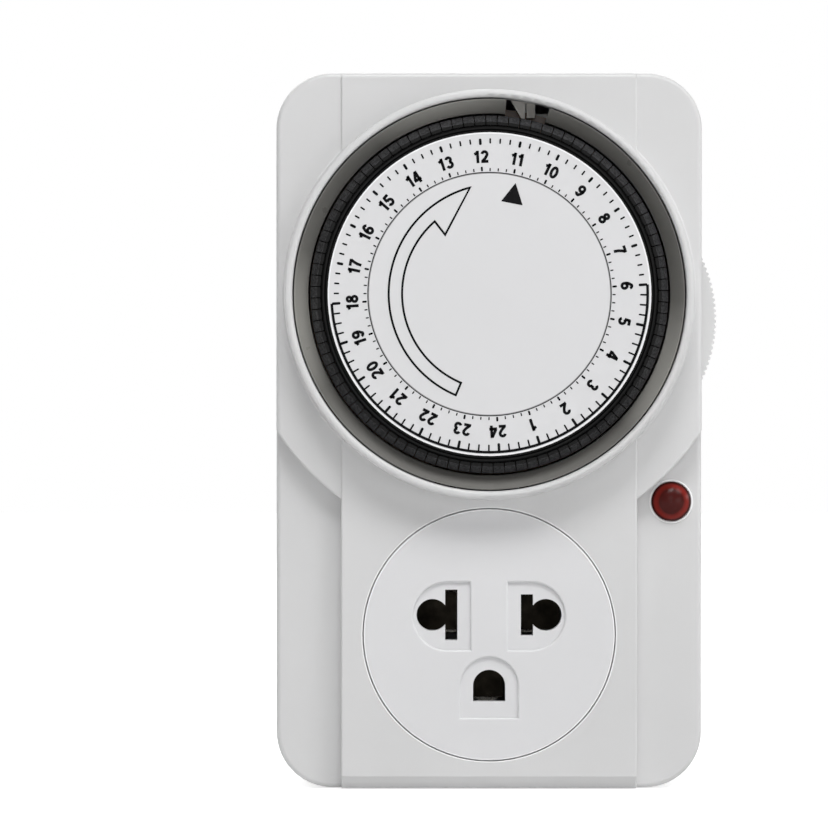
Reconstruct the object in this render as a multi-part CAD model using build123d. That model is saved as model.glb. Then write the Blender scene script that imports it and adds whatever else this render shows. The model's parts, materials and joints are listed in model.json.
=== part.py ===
"""Plug-in 24-hour timer switch: a segment dial, its gear train and a through socket.

Frame: X to the right as the user faces the timer, Z up, -Y towards the user.
The wall face of the timer lies at y = 0 with its plug pins on the +Y side.
The origin is midway between the two flat blades, on the wall face.
Depths in this file run forward from the wall face, so a depth of 38 is y = -38.
"""
import os
from math import cos, hypot, pi, radians, sin

from build123d import *

# ---- body ---------------------------------------------------------------------------------
BODY_WIDTH = 71.9
BODY_BOTTOM = -29.35
BODY_TOP = 91.15
BODY_CORNER = 9.6
WALL = 2.2
BODY_DRAFT = 0.6            # degrees, each half narrows away from the joint line
JOINT_DEPTH = 12.0          # where the rear cover meets the front cover
BAND_DEPTH = 38.0           # face of the central band, and of the socket
SHOULDER_DEPTH = 37.6       # face beside the band, round the dial
FLANK_DEPTH = 34.0          # sunk face beside the socket
BAND_HALF = 24.8
SHOULDER_RADIUS = 42.3      # arc, about the dial, where the shoulders drop to the flanks
FRONT_EDGE = 0.8
REAR_EDGE = 1.2
STEP_EDGE = 0.3             # rounded edges of the band and the shoulders
SEAM_BEVEL = 0.3            # half of the fine groove between the covers
BEVEL_HEIGHT = 2.1          # sloping foot of the band
BEVEL_DROP = 1.9
TONGUE = 1.0
TONGUE_HEIGHT = 1.5
BEHIND_FACE = 20.0          # behind every wall of the front face: cuts through it start here

# ---- screws ---------------------------------------------------------------------------------
COVER_SCREW_SEAT, COVER_SCREW_LENGTH = 8.0, 16.0
COVER_SCREW_HEAD, COVER_SCREW_HEAD_HEIGHT, COVER_SCREW_SHANK = 2.8, 2.0, 1.45
COVER_SCREW_PILOT, COVER_SCREW_PILOT_END = 1.5, 26.0
BOSS_RADIUS, BOSS_FRONT = 3.7, 30.0      # of the front cover's screw bosses
POST_RADIUS, HEAD_WELL = 4.2, 3.0        # of the rear cover's screw posts
SMALL_SCREW = (1.9, 1.2, 1.1)            # radius and height of the head, radius of the shank
SMALL_SCREW_LENGTH = 6.0
SMALL_PILOT, SMALL_CLEARANCE = 1.15, 1.2

# ---- dial ---------------------------------------------------------------------------------
DIAL_Z = 53.7
DIAL_REST_ANGLE = -3.1      # where twelve o'clock noon stands, clockwise from the top
HOURS = 24
TAPPETS_PER_HOUR = 4
TAPPET_PITCH = 360 / (HOURS * TAPPETS_PER_HOUR)
DISC_RADIUS = 20.25
RING_INNER = 20.4
RING_OUTER = 27.0
FACE_DEPTH = 43.4
RING_THICKNESS = 0.8
CARRIER_RADIUS = 28.13
CARRIER_TOP = 43.1
CARRIER_BOTTOM = 31.0
FLANGE_UNDER = 41.9
SKIRT_INNER = 25.2          # inner side of the carrier's rim
WEB_REAR, WEB_FRONT = 34.0, 35.4
HUB_RADIUS, HUB_REAR, HUB_FRONT = 6.5, 21.4, 41.0
GROOVE_RADIUS, GROOVE_HALF, GROOVE_DEPTH = 27.45, 0.15, 0.25
CARRIER_CHAMFER = 0.3
RING_PLAY = 0.03
SPINDLE_RADIUS, SPINDLE_FRONT = 4.0, 42.0
SPINDLE_BORE, SPINDLE_BORE_REAR = 1.6, 36.5
SPINDLE_RIVET, SPINDLE_FLANGE, SPINDLE_FLANGE_FRONT = 3.0, 6.2, 17.4
SPINDLE_STEP, SPINDLE_STEP_FRONT = 5.2, 21.2
DISC_THICKNESS, STUB_RADIUS, STUB_REAR = 1.2, 1.55, 37.0
RUNNING_GAP = 0.05

TAPPET_INNER = 28.25
TAPPET_OUTER = 29.9
TAPPET_WAIST = 29.2
TAPPET_TOP = 43.0
TAPPET_FOOT = 32.0
TAPPET_FOOT_FRONT = 35.9
TAPPET_HEAD_REAR = 39.7
TAPPET_SLOPE = 0.5          # depth of the slopes into the waist
TAPPET_SHOULDER = 40.9      # the head's bevel runs from here to the crest
TAPPET_CREST = 28.75
TAPPET_GAP = 0.16
RIB_WIDTH = 0.9
RIB_INNER = 27.3
SLOT_WIDTH = 1.16
SLOT_INNER = 27.15

# ---- dial well and collar -------------------------------------------------------------------
COLLAR_INNER = 32.9
COLLAR_LIP = 34.2
COLLAR_BASE = 34.45
COLLAR_DEPTH = 43.7
COLLAR_FOOT = 0.4           # concave round where the collar meets the face
WELL_TOP = 42.2
WELL_TOP_RADIUS = 32.5
WELL_THROAT = 40.2          # the mouth slopes in from the edge to here
WELL_FLOOR_RADIUS = 30.3
WELL_FLOOR = 26.0
WELL_WALL = 0.15            # at the thin upper edge
WELL_WALL_LOW = 1.2
FLOOR_THICKNESS = 1.4
WELL_HOLE = 7.0             # the hub passes through it
PILLAR_RADIUS, PILLAR_PILOT_END = 2.2, 21.5
EAR_RADIUS, EAR_ROOT_RADIUS, EAR_POST_RADIUS = 2.4, 2.9, 2.5
EAR_PILOT_LENGTH = 6.0
WINDOW_FROM = 5.0           # degrees clockwise from the top
WINDOW_TO = 18.0
WINDOW_LOW = 30.0

# ---- gear train -----------------------------------------------------------------------------
PLATE_REAR = 14.6
PLATE_FRONT = 16.0
DIAL_TEETH, SECOND_PINION_TEETH, DRIVE_MODULE = 60, 10, 0.5
WHEEL_TEETH, PINION_TEETH, TRAIN_MODULE = 48, 12, 0.4
SECOND_ANGLE = 297.6        # from the dial's axis, clockwise from the top
FIRST_ANGLE = 12.0          # from the second gear's axis
PINION_ANGLE = 115.0        # from the first gear's axis
# rear and front depth of each toothed layer
DIAL_GEAR_LAYER = (21.4, 23.9)
SECOND_WHEEL_LAYER, SECOND_PINION_LAYER = (19.4, 20.9), (20.8, 24.2)
FIRST_WHEEL_LAYER, FIRST_PINION_LAYER = (17.2, 18.7), (18.6, 21.1)
MOTOR_PINION_LAYER = (16.6, 18.9)
GEAR_PIN = 0.8
SECOND_PIN_FRONT, FIRST_PIN_FRONT, FEELER_PIN_FRONT, LEVER_PIN_FRONT = 24.4, 21.5, 35.2, 20.9
GEAR_HUB, GEAR_HUB_PROUD = 1.5, 0.4
MOTOR_X, MOTOR_Z, MOTOR_RADIUS = -8.5, 63.0, 16.0
MOTOR_REAR, MOTOR_FRONT = 3.2, 14.4
MOTOR_FLANGE, MOTOR_EDGE = 0.9, 1.0
MOTOR_EAR_REACH, MOTOR_EAR_RADIUS = 3.5, 2.6
SHAFT_RADIUS, SHAFT_REAR, SHAFT_FRONT, SHAFT_HOLE = 1.0, 10.0, 19.1, 1.7
BRIDGE_WIDTH, BRIDGE_HEIGHT, BRIDGE_REAR, BRIDGE_FRONT = 9.0, 6.0, 5.5, 11.5
PILLARS = ((-20.0, 38.5), (-26.5, 56.0), (0.5, 81.0), (10.0, 36.0))
EARS = ((-30.0, 33.0), (30.0, 33.0), (-26.5, 78.0), (28.5, 75.5))

# ---- override lever, feeler and switch ------------------------------------------------------
LEVER_X, LEVER_Z = 14.85, 49.85
LEVER_RADIUS = 24.0
LEVER_INNER = 19.8
LEVER_FROM, LEVER_TO = -44.0, 26.4      # counter-clockwise from +X
LEVER_REAR, LEVER_FRONT = 12.4, 20.4
LEVER_TEETH_PITCH = 2.2
LEVER_GUARD_TO = 35.0                   # smooth tail that keeps the wall slot closed
LEVER_PIN = 1.5
LEVER_HUB, LEVER_HUB_REAR, LEVER_HUB_FRONT = 3.2, 16.2, 20.6
LEVER_WEB_REAR, LEVER_WEB_FRONT = 16.4, 18.2
LEVER_SPACE, LEVER_SPACE_REAR = 0.4, 0.6 # room round the sector, in the front and rear covers
CAM_NOSE, CAM_ROOT = 1.0, 2.6
CAM_RADIUS, CAM_ANGLE = 21.75, 54.8      # centre of the cam nose, from the lever's pivot
FEELER_X, FEELER_Z = 21.5, 82.5
FEELER_HUB, FEELER_REAR, FEELER_FRONT = 2.0, 16.3, 35.0
FEELER_ARM_REAR = 33.2
TAIL_X, TAIL_Z, TAIL_WIDTH, TAIL_LENGTH = 21.2, 76.4, 1.2, 12.2
TAIL_REAR, TAIL_FRONT = 16.6, 20.6
SWITCH_LEFT, SWITCH_RIGHT = 5.5, 18.5
SWITCH_LOW, SWITCH_HIGH = 72.5, 79.0
SWITCH_REAR, SWITCH_FRONT = 16.3, 22.3
PLUNGER_Z, PLUNGER_DEPTH, PLUNGER_RADIUS = 75.8, 19.4, 0.9
PLUNGER_LEFT, PLUNGER_RIGHT = 15.4, 20.35
TAB_LENGTH, TAB_WIDTH, TAB_REAR, TAB_FRONT, TAB_INSET = 3.4, 1.4, 19.0, 19.5, 1.6

# ---- socket and plug ------------------------------------------------------------------------
SOCKET_Z = -3.3
SOCKET_RADIUS = 21.05
SOCKET_OPENING = 21.25
SOCKET_REAR = 33.6
SOCKET_FLANGE, SOCKET_FLANGE_FRONT = 22.4, 35.5
BLOCK_WIDTH, BLOCK_HEIGHT, BLOCK_CORNER, BLOCK_REAR, BLOCK_Z = 34.0, 27.0, 2.0, 14.0, -4.9
CELL_X, CELL_WIDTH, CELL_HEIGHT = 9.2, 9.4, 9.6
EARTH_CELL_Z, EARTH_CELL_WIDTH, EARTH_CELL_HEIGHT = -12.2, 8.0, 8.2
CONTACT_BASE, CONTACT_BEND, CONTACT_PINCH, CONTACT_MOUTH = 14.5, 23.0, 27.0, 31.0
PINCH = 0.2                 # how far the leaves close in at their pinch
CONTACT_THICKNESS = 0.5
POWER_LEAVES = (4.95, 12.5) # of each power contact, from the centre line
POWER_CONTACT_WIDTH, EARTH_CONTACT_WIDTH = 6.4, 5.6
LEG_THICKNESS, LEG_WIDTH = 0.8, 4.0      # of the neutral contact's leg
EARTH_LEAF = 2.9
BLADE_HALF_SPACING = 6.35
ROUND_HALF_SPACING = 9.5
ROUND_HOLE = 2.675
SLOT_THICKNESS = 2.05
NEUTRAL_SLOT_HEIGHT = 8.5
LIVE_SLOT_HEIGHT = 6.9
EARTH_Z = -11.9
EARTH_HOLE = 2.7
EARTH_FLAT = 2.6
POCKET_DEPTH = 0.55
POCKET_EDGE = 0.35
POCKET_OUTER, POCKET_INNER = 12.7, 3.15  # from the centre line, beside each slot
POCKET_HALF_HEIGHT = 5.7
POCKET_Z = -0.2
EARTH_POCKET_HALF, EARTH_POCKET_LOW = 4.8, -17.25
FACE_EDGE = 0.15            # fine rounding of the socket face
BLADE_HEIGHT = 6.35
BLADE_THICKNESS = 1.5
BLADE_LENGTH = 17.0
BLADE_HOLE = 1.6            # radius of the hole near each blade's tip
BLADE_HOLE_INSET = 3.6
BLADE_TIP_CHAMFER = 0.5
BLADE_ROOT = 5.2            # depth of the blades' and the earth pin's inner ends
BLADE_FOOT_WIDTH, BLADE_FOOT_HEIGHT, BLADE_FOOT_FRONT = 5.0, 8.0, 3.4
EARTH_PIN_RADIUS = 2.375
EARTH_PIN_LENGTH = 20.3
EARTH_ROOT_RADIUS = 2.6     # the thicker root inside the rear cover
EARTH_TIP_ROUND, EARTH_COLLAR, EARTH_COLLAR_FRONT = 1.6, 4.0, 3.8
EARTH_STEM = 1.6            # radius of the earth contact's stem

# ---- lamp -----------------------------------------------------------------------------------
LAMP_X, LAMP_Z = 30.65, 19.0
LAMP_RADIUS = 3.3
LAMP_BEAD = 0.3             # width of the fine raised bead round the lens
LAMP_BEAD_HEIGHT = 0.25
LAMP_CROWN = 1.9            # height of the lens above the flank
LENS_STEM, LENS_BORE, LENS_REAR = 2.6, 2.1, 30.8
BULB_RADIUS, BULB_REAR, BULB_FRONT, BULB_ROUND = 1.8, 22.0, 33.2, 1.2
RESISTOR_X, RESISTOR_DEPTH, RESISTOR_Z = 27.0, 20.0, 8.0
RESISTOR_RADIUS, RESISTOR_LENGTH = 1.2, 6.5

# ---- wiring ---------------------------------------------------------------------------------
WIRE_RADIUS, LEAD_RADIUS, WIRE_BEND = 0.8, 0.5, 3.0

FRONT = Plane(origin=(0, 0, 0), x_dir=(1, 0, 0), z_dir=(0, -1, 0))
BODY_MIDDLE = (BODY_TOP + BODY_BOTTOM) / 2
BODY_HEIGHT = BODY_TOP - BODY_BOTTOM
CORNER_SCREWS = [(side * 29.0, z) for side in (-1, 1) for z in (BODY_BOTTOM + 6.6, BODY_TOP - 6.6)]


# ---- drawing helpers ------------------------------------------------------------------------
def slab(sketch, start, end, taper=0.0):
    """Extrude a sketch, drawn as the user sees it, from one depth to another."""
    return extrude(FRONT.offset(start) * sketch, end - start, dir=(0, -1, 0), taper=taper)


def disc(radius, start, end, x=0.0, z=0.0):
    """A plain round, front to back, between two depths."""
    return slab(Pos(x, z) * Circle(radius), start, end)


def turned(points, x=0.0, z=0.0):
    """Revolve a closed (radius, depth) outline about a front-to-back axis."""
    return turned_outline(Polyline(*points, close=True), x, z)


def turned_outline(outline, x=0.0, z=0.0):
    plane = Plane(origin=(x, 0, z), x_dir=(1, 0, 0), z_dir=(0, 0, -1))
    return revolve(plane * make_face(outline), Axis((x, 0, z), (0, -1, 0)))


def polar(radius, clockwise, x=0.0, z=0.0):
    """A point at a radius and an angle clockwise from the top."""
    return (x + radius * sin(radians(clockwise)), z + radius * cos(radians(clockwise)))


def round_dial(shape, clockwise):
    """Turn a shape built at the top of the dial to another place round it."""
    return Pos(0, 0, DIAL_Z) * Rot(0, clockwise, 0) * shape


def group(shapes):
    """Several separate solids as one node."""
    return Compound([solid for shape in shapes for solid in shape.solids()])


def depths(shape, low, high):
    """The edges of a shape that lie wholly between two depths."""
    inside = []
    for edge in shape.edges():
        box = edge.bounding_box()
        if -high <= box.min.Y and box.max.Y <= -low:
            inside.append(edge)
    return inside


def body_outline(inset=0.0):
    rectangle = RectangleRounded(
        BODY_WIDTH - 2 * inset, BODY_HEIGHT - 2 * inset, BODY_CORNER - inset
    )
    return Pos(0, BODY_MIDDLE) * rectangle


def band_strip(inset=0.0):
    return Pos(0, BODY_MIDDLE) * Rectangle(2 * (BAND_HALF - inset), BODY_HEIGHT + 2)


def shoulder_area(inset=0.0):
    """The round dial area and everything above its middle."""
    radius = SHOULDER_RADIUS - inset
    above = Pos(0, DIAL_Z + BODY_HEIGHT / 2) * Rectangle(2 * radius, BODY_HEIGHT)
    return Pos(0, DIAL_Z) * Circle(radius) + above


# ---- housing --------------------------------------------------------------------------------
def rounded_block(face_depth, edge):
    """The drafted body outline, from the joint line to one face, its front edge rounded."""
    block = slab(body_outline(), JOINT_DEPTH, face_depth, taper=BODY_DRAFT)
    return fillet(depths(block, face_depth - 0.01, face_depth + 0.01), edge)


def band_block():
    """The central band, with the sloping foot in place of the rounded lower edge."""
    band = rounded_block(BAND_DEPTH, FRONT_EDGE)
    strip = slab(band_strip(), JOINT_DEPTH - 1, BAND_DEPTH + 1)
    top, low = BODY_BOTTOM + BEVEL_HEIGHT + 0.2, BODY_BOTTOM - 1
    run = (top - low) * BEVEL_DROP / BEVEL_HEIGHT
    side = Plane(origin=(-BAND_HALF - 1, 0, 0), x_dir=(0, -1, 0), z_dir=(1, 0, 0))
    wedge = Polyline(
        (BAND_DEPTH, top), (BAND_DEPTH - run, low), (BAND_DEPTH + 5, low),
        (BAND_DEPTH + 5, top), close=True,
    )
    # the side plane's local y runs down, so the heights change sign
    wedge = mirror(make_face(wedge), Plane.XZ)
    band &= strip - extrude(side * wedge, 2 * BAND_HALF + 2)
    front = depths(band, FLANK_DEPTH, BAND_DEPTH + 0.01)
    long_sides = [edge for edge in front if edge.bounding_box().size.X < 0.01]
    return fillet(long_sides, STEP_EDGE)


def shoulder_block():
    """The raised face round the dial, its lower edge an arc about the dial."""
    block = rounded_block(SHOULDER_DEPTH, FRONT_EDGE)
    block &= slab(shoulder_area(), JOINT_DEPTH - 1, SHOULDER_DEPTH + 1)
    front = depths(block, SHOULDER_DEPTH - 0.01, SHOULDER_DEPTH + 0.01)
    return fillet(max(front, key=lambda edge: edge.length), STEP_EDGE)


def collar():
    """The raised ring round the dial: a half-round lip and a concave foot."""
    low, foot = BAND_DEPTH - WALL, COLLAR_BASE + COLLAR_FOOT
    outer = (COLLAR_BASE, SHOULDER_DEPTH + COLLAR_FOOT)
    outline = Polyline(
        (foot, SHOULDER_DEPTH), (foot, low), (COLLAR_INNER, low),
        (COLLAR_INNER, COLLAR_DEPTH), (COLLAR_LIP, COLLAR_DEPTH), outer,
    )
    outline += RadiusArc(outer, (foot, SHOULDER_DEPTH), -COLLAR_FOOT)
    ring = turned_outline(outline, z=DIAL_Z)
    lip = (COLLAR_LIP - COLLAR_INNER) / 2
    return fillet(depths(ring, COLLAR_DEPTH - 0.01, COLLAR_DEPTH + 0.01), lip * 0.9)


def cavity():
    """The hollow of the front cover, stepped like its outside."""
    start = JOINT_DEPTH - 0.5
    low = slab(body_outline(WALL), start, FLANK_DEPTH - WALL)
    middle = slab(body_outline(WALL) & shoulder_area(WALL), start, SHOULDER_DEPTH - WALL)
    high = slab(body_outline(WALL) & band_strip(WALL), start, BAND_DEPTH - WALL)
    return low + middle + high


def lamp_bead():
    """The fine rounded ring on the flank that the lamp's lens sits in."""
    inner = LAMP_RADIUS + RUNNING_GAP
    ring = disc(inner + LAMP_BEAD, FLANK_DEPTH - 1, FLANK_DEPTH + LAMP_BEAD_HEIGHT, LAMP_X, LAMP_Z)
    ring -= disc(inner, FLANK_DEPTH, FLANK_DEPTH + 1, LAMP_X, LAMP_Z)
    top = FLANK_DEPTH + LAMP_BEAD_HEIGHT
    return fillet(depths(ring, top - 0.01, top + 0.01), LAMP_BEAD * 0.45)


def front_cover():
    cover = rounded_block(FLANK_DEPTH, FRONT_EDGE)
    cover += shoulder_block()
    cover += band_block()
    cover += collar()
    cover -= cavity()
    for x, z in EARS:
        cover += disc(EAR_POST_RADIUS, WELL_FLOOR, SHOULDER_DEPTH - WALL + 0.5, x, z)
        cover -= disc(SMALL_PILOT, WELL_FLOOR - 1, WELL_FLOOR + EAR_PILOT_LENGTH, x, z)
    tongue_seat = body_outline(WALL - TONGUE - 0.05)
    cover -= slab(tongue_seat, JOINT_DEPTH - 1, JOINT_DEPTH + TONGUE_HEIGHT + 0.1)
    for x, z in CORNER_SCREWS:
        cover += disc(BOSS_RADIUS, JOINT_DEPTH + 0.05, BOSS_FRONT, x, z)
        cover -= disc(COVER_SCREW_PILOT, JOINT_DEPTH - 1, COVER_SCREW_PILOT_END, x, z)
    cover -= disc(COLLAR_INNER, BEHIND_FACE, COLLAR_DEPTH + 1, 0, DIAL_Z)
    cover -= disc(SOCKET_OPENING, BEHIND_FACE, BAND_DEPTH + 1, 0, SOCKET_Z)
    cover += lamp_bead()
    cover -= disc(LENS_STEM + 0.1, BEHIND_FACE, FLANK_DEPTH + 1, LAMP_X, LAMP_Z)
    slot_front = LEVER_FRONT + LEVER_SPACE
    return cover - disc(LEVER_RADIUS + LEVER_SPACE, JOINT_DEPTH - 1, slot_front, LEVER_X, LEVER_Z)


def rear_cover():
    """The shallow tray that closes the back, with screw posts and the plug's openings."""
    tray = slab(body_outline(), JOINT_DEPTH, 0, taper=BODY_DRAFT)
    tray = fillet(depths(tray, -0.01, 0.01), REAR_EDGE)
    tray = chamfer(depths(tray, JOINT_DEPTH - 0.01, JOINT_DEPTH + 0.01), SEAM_BEVEL)
    tray -= slab(body_outline(WALL), WALL, JOINT_DEPTH + 1)
    tongue = body_outline(WALL - TONGUE + 0.05) - body_outline(WALL)
    tray += slab(tongue, WALL, JOINT_DEPTH + TONGUE_HEIGHT)
    slot = LEVER_RADIUS + LEVER_SPACE_REAR
    tray -= disc(slot, JOINT_DEPTH, JOINT_DEPTH + 5, LEVER_X, LEVER_Z)
    for x, z in CORNER_SCREWS:
        tray -= disc(BOSS_RADIUS + 0.2, JOINT_DEPTH, JOINT_DEPTH + 5, x, z)
        post = disc(POST_RADIUS, 0.0, JOINT_DEPTH, x, z)
        tray += post & slab(body_outline(1.0), 0.0, JOINT_DEPTH)
        tray -= disc(HEAD_WELL, -1.0, COVER_SCREW_SEAT, x, z)
        tray -= disc(COVER_SCREW_SHANK + 0.15, COVER_SCREW_SEAT - 1, JOINT_DEPTH + 1, x, z)
    for x in (-BLADE_HALF_SPACING, BLADE_HALF_SPACING):
        slot = Pos(x, 0) * Rectangle(BLADE_THICKNESS + 0.1, BLADE_HEIGHT + 0.1)
        tray -= slab(slot, -1, WALL + 1)
    return tray - disc(EARTH_ROOT_RADIUS + 0.05, -1, WALL + 1, 0, EARTH_Z)


def screw(x, z, seat, length, head_radius, head_height, shank_radius):
    """A pan-head screw that enters from behind, its head resting on the seat depth."""
    head = disc(head_radius, seat - head_height, seat, x, z)
    head = chamfer(depths(head, seat - head_height - 0.01, seat - head_height + 0.01), 0.4)
    shank = disc(shank_radius, seat - 0.01, seat + length, x, z)
    return head + shank


def cover_screws():
    size = (COVER_SCREW_HEAD, COVER_SCREW_HEAD_HEIGHT, COVER_SCREW_SHANK)
    seat, length = COVER_SCREW_SEAT, COVER_SCREW_LENGTH
    return group([screw(x, z, seat, length, *size) for x, z in CORNER_SCREWS])


# ---- dial -----------------------------------------------------------------------------------
def dial_carrier():
    """The black wheel: hub, web, and a rim whose slots guide the tappets."""
    ring_seat, recess = FACE_DEPTH - RING_THICKNESS, RING_OUTER + RING_PLAY
    bore, edge = SPINDLE_RADIUS + RUNNING_GAP, CARRIER_RADIUS - CARRIER_CHAMFER
    wheel = turned(
        [
            (bore, HUB_REAR), (HUB_RADIUS, HUB_REAR), (HUB_RADIUS, WEB_REAR),
            (SKIRT_INNER, WEB_REAR), (SKIRT_INNER, CARRIER_BOTTOM),
            (CARRIER_RADIUS, CARRIER_BOTTOM), (CARRIER_RADIUS, CARRIER_TOP - CARRIER_CHAMFER),
            (edge, CARRIER_TOP), (GROOVE_RADIUS + GROOVE_HALF, CARRIER_TOP),
            (GROOVE_RADIUS, CARRIER_TOP - GROOVE_DEPTH), (GROOVE_RADIUS - GROOVE_HALF, CARRIER_TOP),
            (recess, CARRIER_TOP), (recess, ring_seat), (RING_INNER, ring_seat),
            (RING_INNER, FLANGE_UNDER), (SKIRT_INNER, FLANGE_UNDER), (SKIRT_INNER, WEB_FRONT),
            (HUB_RADIUS, WEB_FRONT), (HUB_RADIUS, HUB_FRONT), (bore, HUB_FRONT),
        ],
        z=DIAL_Z,
    )
    middle = (SLOT_INNER + CARRIER_RADIUS + 1) / 2
    slot = slab(
        Pos(0, middle) * Rectangle(SLOT_WIDTH, CARRIER_RADIUS + 1 - SLOT_INNER),
        CARRIER_BOTTOM - 1, FLANGE_UNDER,
    )
    slots = [round_dial(slot, tappet_angle(n)) for n in range(HOURS * TAPPETS_PER_HOUR)]
    return wheel - slots


def tappet_angle(number):
    """Where a tappet stands: the time runs counter-clockwise, and 0 is noon."""
    return DIAL_REST_ANGLE - number * TAPPET_PITCH


def tappet():
    """One segment at the top of the dial: sloping head, waist, foot and guide rib.

    It slides 2.5 mm towards the wall in the carrier's slot.
    """
    plane = Plane(origin=(-2, 0, 0), x_dir=(0, 0, 1), z_dir=(1, 0, 0))
    profile = Polyline(
        (TAPPET_INNER, TAPPET_FOOT), (TAPPET_OUTER, TAPPET_FOOT), (TAPPET_OUTER, TAPPET_FOOT_FRONT),
        (TAPPET_WAIST, TAPPET_FOOT_FRONT + TAPPET_SLOPE),
        (TAPPET_WAIST, TAPPET_HEAD_REAR - TAPPET_SLOPE), (TAPPET_OUTER, TAPPET_HEAD_REAR),
        (TAPPET_OUTER, TAPPET_SHOULDER), (TAPPET_CREST, TAPPET_TOP), (TAPPET_INNER, TAPPET_TOP),
        close=True,
    )
    bar = extrude(plane * make_face(profile), 4)
    inner = pi * TAPPET_INNER / (HOURS * TAPPETS_PER_HOUR) - TAPPET_GAP / 2
    outer = pi * TAPPET_OUTER / (HOURS * TAPPETS_PER_HOUR) - TAPPET_GAP / 2
    sides = Polygon(
        (-inner, TAPPET_INNER), (inner, TAPPET_INNER), (outer, TAPPET_OUTER),
        (-outer, TAPPET_OUTER), align=None,
    )
    rib = Pos(0, (RIB_INNER + TAPPET_INNER + 0.4) / 2) * Rectangle(
        RIB_WIDTH, TAPPET_INNER + 0.4 - RIB_INNER
    )
    return (bar & slab(sides, TAPPET_FOOT - 1, TAPPET_TOP + 1)) + slab(rib, TAPPET_FOOT, FLANGE_UNDER - 0.4)


def hour_tappets(hour, segment):
    """The four quarter-hour tappets that follow one printed hour."""
    first = (hour - HOURS // 2) * TAPPETS_PER_HOUR
    return group(
        [round_dial(segment, tappet_angle(first + n)) for n in range(TAPPETS_PER_HOUR)]
    )


def number_ring():
    rear = FACE_DEPTH - RING_THICKNESS
    hole = disc(RING_INNER, rear - 1, FACE_DEPTH + 1, 0, DIAL_Z)
    return disc(RING_OUTER, rear, FACE_DEPTH, 0, DIAL_Z) - hole


def pointer_disc():
    """The fixed centre disc, with the stub that snaps into the spindle."""
    plate = disc(DISC_RADIUS, FACE_DEPTH - DISC_THICKNESS, FACE_DEPTH, 0, DIAL_Z)
    return plate + disc(STUB_RADIUS, STUB_REAR, FACE_DEPTH - 1, 0, DIAL_Z)


def dial_spindle():
    return turned(
        [
            (0, PLATE_REAR), (SPINDLE_RIVET, PLATE_REAR), (SPINDLE_RIVET, PLATE_FRONT),
            (SPINDLE_FLANGE, PLATE_FRONT), (SPINDLE_FLANGE, SPINDLE_FLANGE_FRONT),
            (SPINDLE_STEP, SPINDLE_FLANGE_FRONT), (SPINDLE_STEP, SPINDLE_STEP_FRONT),
            (SPINDLE_RADIUS, SPINDLE_STEP_FRONT), (SPINDLE_RADIUS, SPINDLE_FRONT),
            (SPINDLE_BORE, SPINDLE_FRONT), (SPINDLE_BORE, SPINDLE_BORE_REAR),
            (0, SPINDLE_BORE_REAR),
        ],
        z=DIAL_Z,
    )


def dial_well():
    """The cup with a flared mouth that the dial turns in, its pillars for the plate and its ears."""
    low = WELL_FLOOR - FLOOR_THICKNESS
    cup = turned(
        [
            (WELL_HOLE, low), (WELL_FLOOR_RADIUS + WELL_WALL_LOW, low),
            (WELL_FLOOR_RADIUS + WELL_WALL_LOW, WELL_THROAT - 1),
            (WELL_TOP_RADIUS + WELL_WALL, WELL_TOP - 1), (WELL_TOP_RADIUS + WELL_WALL, WELL_TOP),
            (WELL_TOP_RADIUS, WELL_TOP), (WELL_FLOOR_RADIUS, WELL_THROAT),
            (WELL_FLOOR_RADIUS, WELL_FLOOR), (WELL_HOLE, WELL_FLOOR),
        ],
        z=DIAL_Z,
    )
    for x, z in PILLARS:
        cup += disc(PILLAR_RADIUS, PLATE_FRONT, low + 0.1, x, z)
        cup -= disc(SMALL_PILOT, PLATE_FRONT - 1, PILLAR_PILOT_END, x, z)
    outside = Pos(0, DIAL_Z) * Circle(WELL_FLOOR_RADIUS)
    for x, z in EARS:
        reach = hypot(x, z - DIAL_Z)
        foot = Pos(x * 0.9, DIAL_Z + (z - DIAL_Z) * 0.9) * Circle(EAR_ROOT_RADIUS)
        ear = make_hull((foot + Pos(x, z) * Circle(EAR_RADIUS)).edges()) - outside
        cup += slab(ear, low, WELL_FLOOR - 0.05)
        cup -= disc(SMALL_CLEARANCE, low - 1, WELL_FLOOR + 1, x, z)
    far = 2 * WELL_FLOOR_RADIUS
    window = Polygon(
        (0, DIAL_Z), polar(far, WINDOW_FROM, 0, DIAL_Z), polar(far, WINDOW_TO, 0, DIAL_Z),
        align=None,
    )
    return cup - slab(window, WINDOW_LOW, WELL_TOP + 1)


# ---- gear train -----------------------------------------------------------------------------
def gear_outline(teeth, module, rotation=0.0):
    """A spur gear's outline: each flank runs from root to tip through the pitch circle."""
    pitch = module * teeth / 2
    root, tip = pitch - 1.2 * module, pitch + 0.85 * module
    half = pi / teeth
    corners = []
    for n in range(teeth):
        centre = radians(rotation) + n * 2 * half
        for radius, part in ((root, -0.62), (pitch, -0.42), (tip, -0.17),
                             (tip, 0.17), (pitch, 0.42), (root, 0.62)):
            angle = centre + part * half
            corners.append((radius * sin(angle), radius * cos(angle)))
    return make_face(Polyline(*corners, close=True))


def gear(teeth, module, start, end, x, z, rotation=0.0):
    return slab(Pos(x, z) * gear_outline(teeth, module, rotation), start, end)


SECOND_X, SECOND_Z = polar(
    DRIVE_MODULE * (DIAL_TEETH + SECOND_PINION_TEETH) / 2, SECOND_ANGLE, 0, DIAL_Z
)
TRAIN_SPACING = TRAIN_MODULE * (WHEEL_TEETH + PINION_TEETH) / 2
FIRST_X, FIRST_Z = polar(TRAIN_SPACING, FIRST_ANGLE, SECOND_X, SECOND_Z)
SHAFT_X, SHAFT_Z = polar(TRAIN_SPACING, PINION_ANGLE, FIRST_X, FIRST_Z)


def mesh_turn(teeth, toward):
    """Turn a driven gear so that one of its gaps, not a tooth, faces its partner."""
    return toward + 180 / teeth


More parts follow.
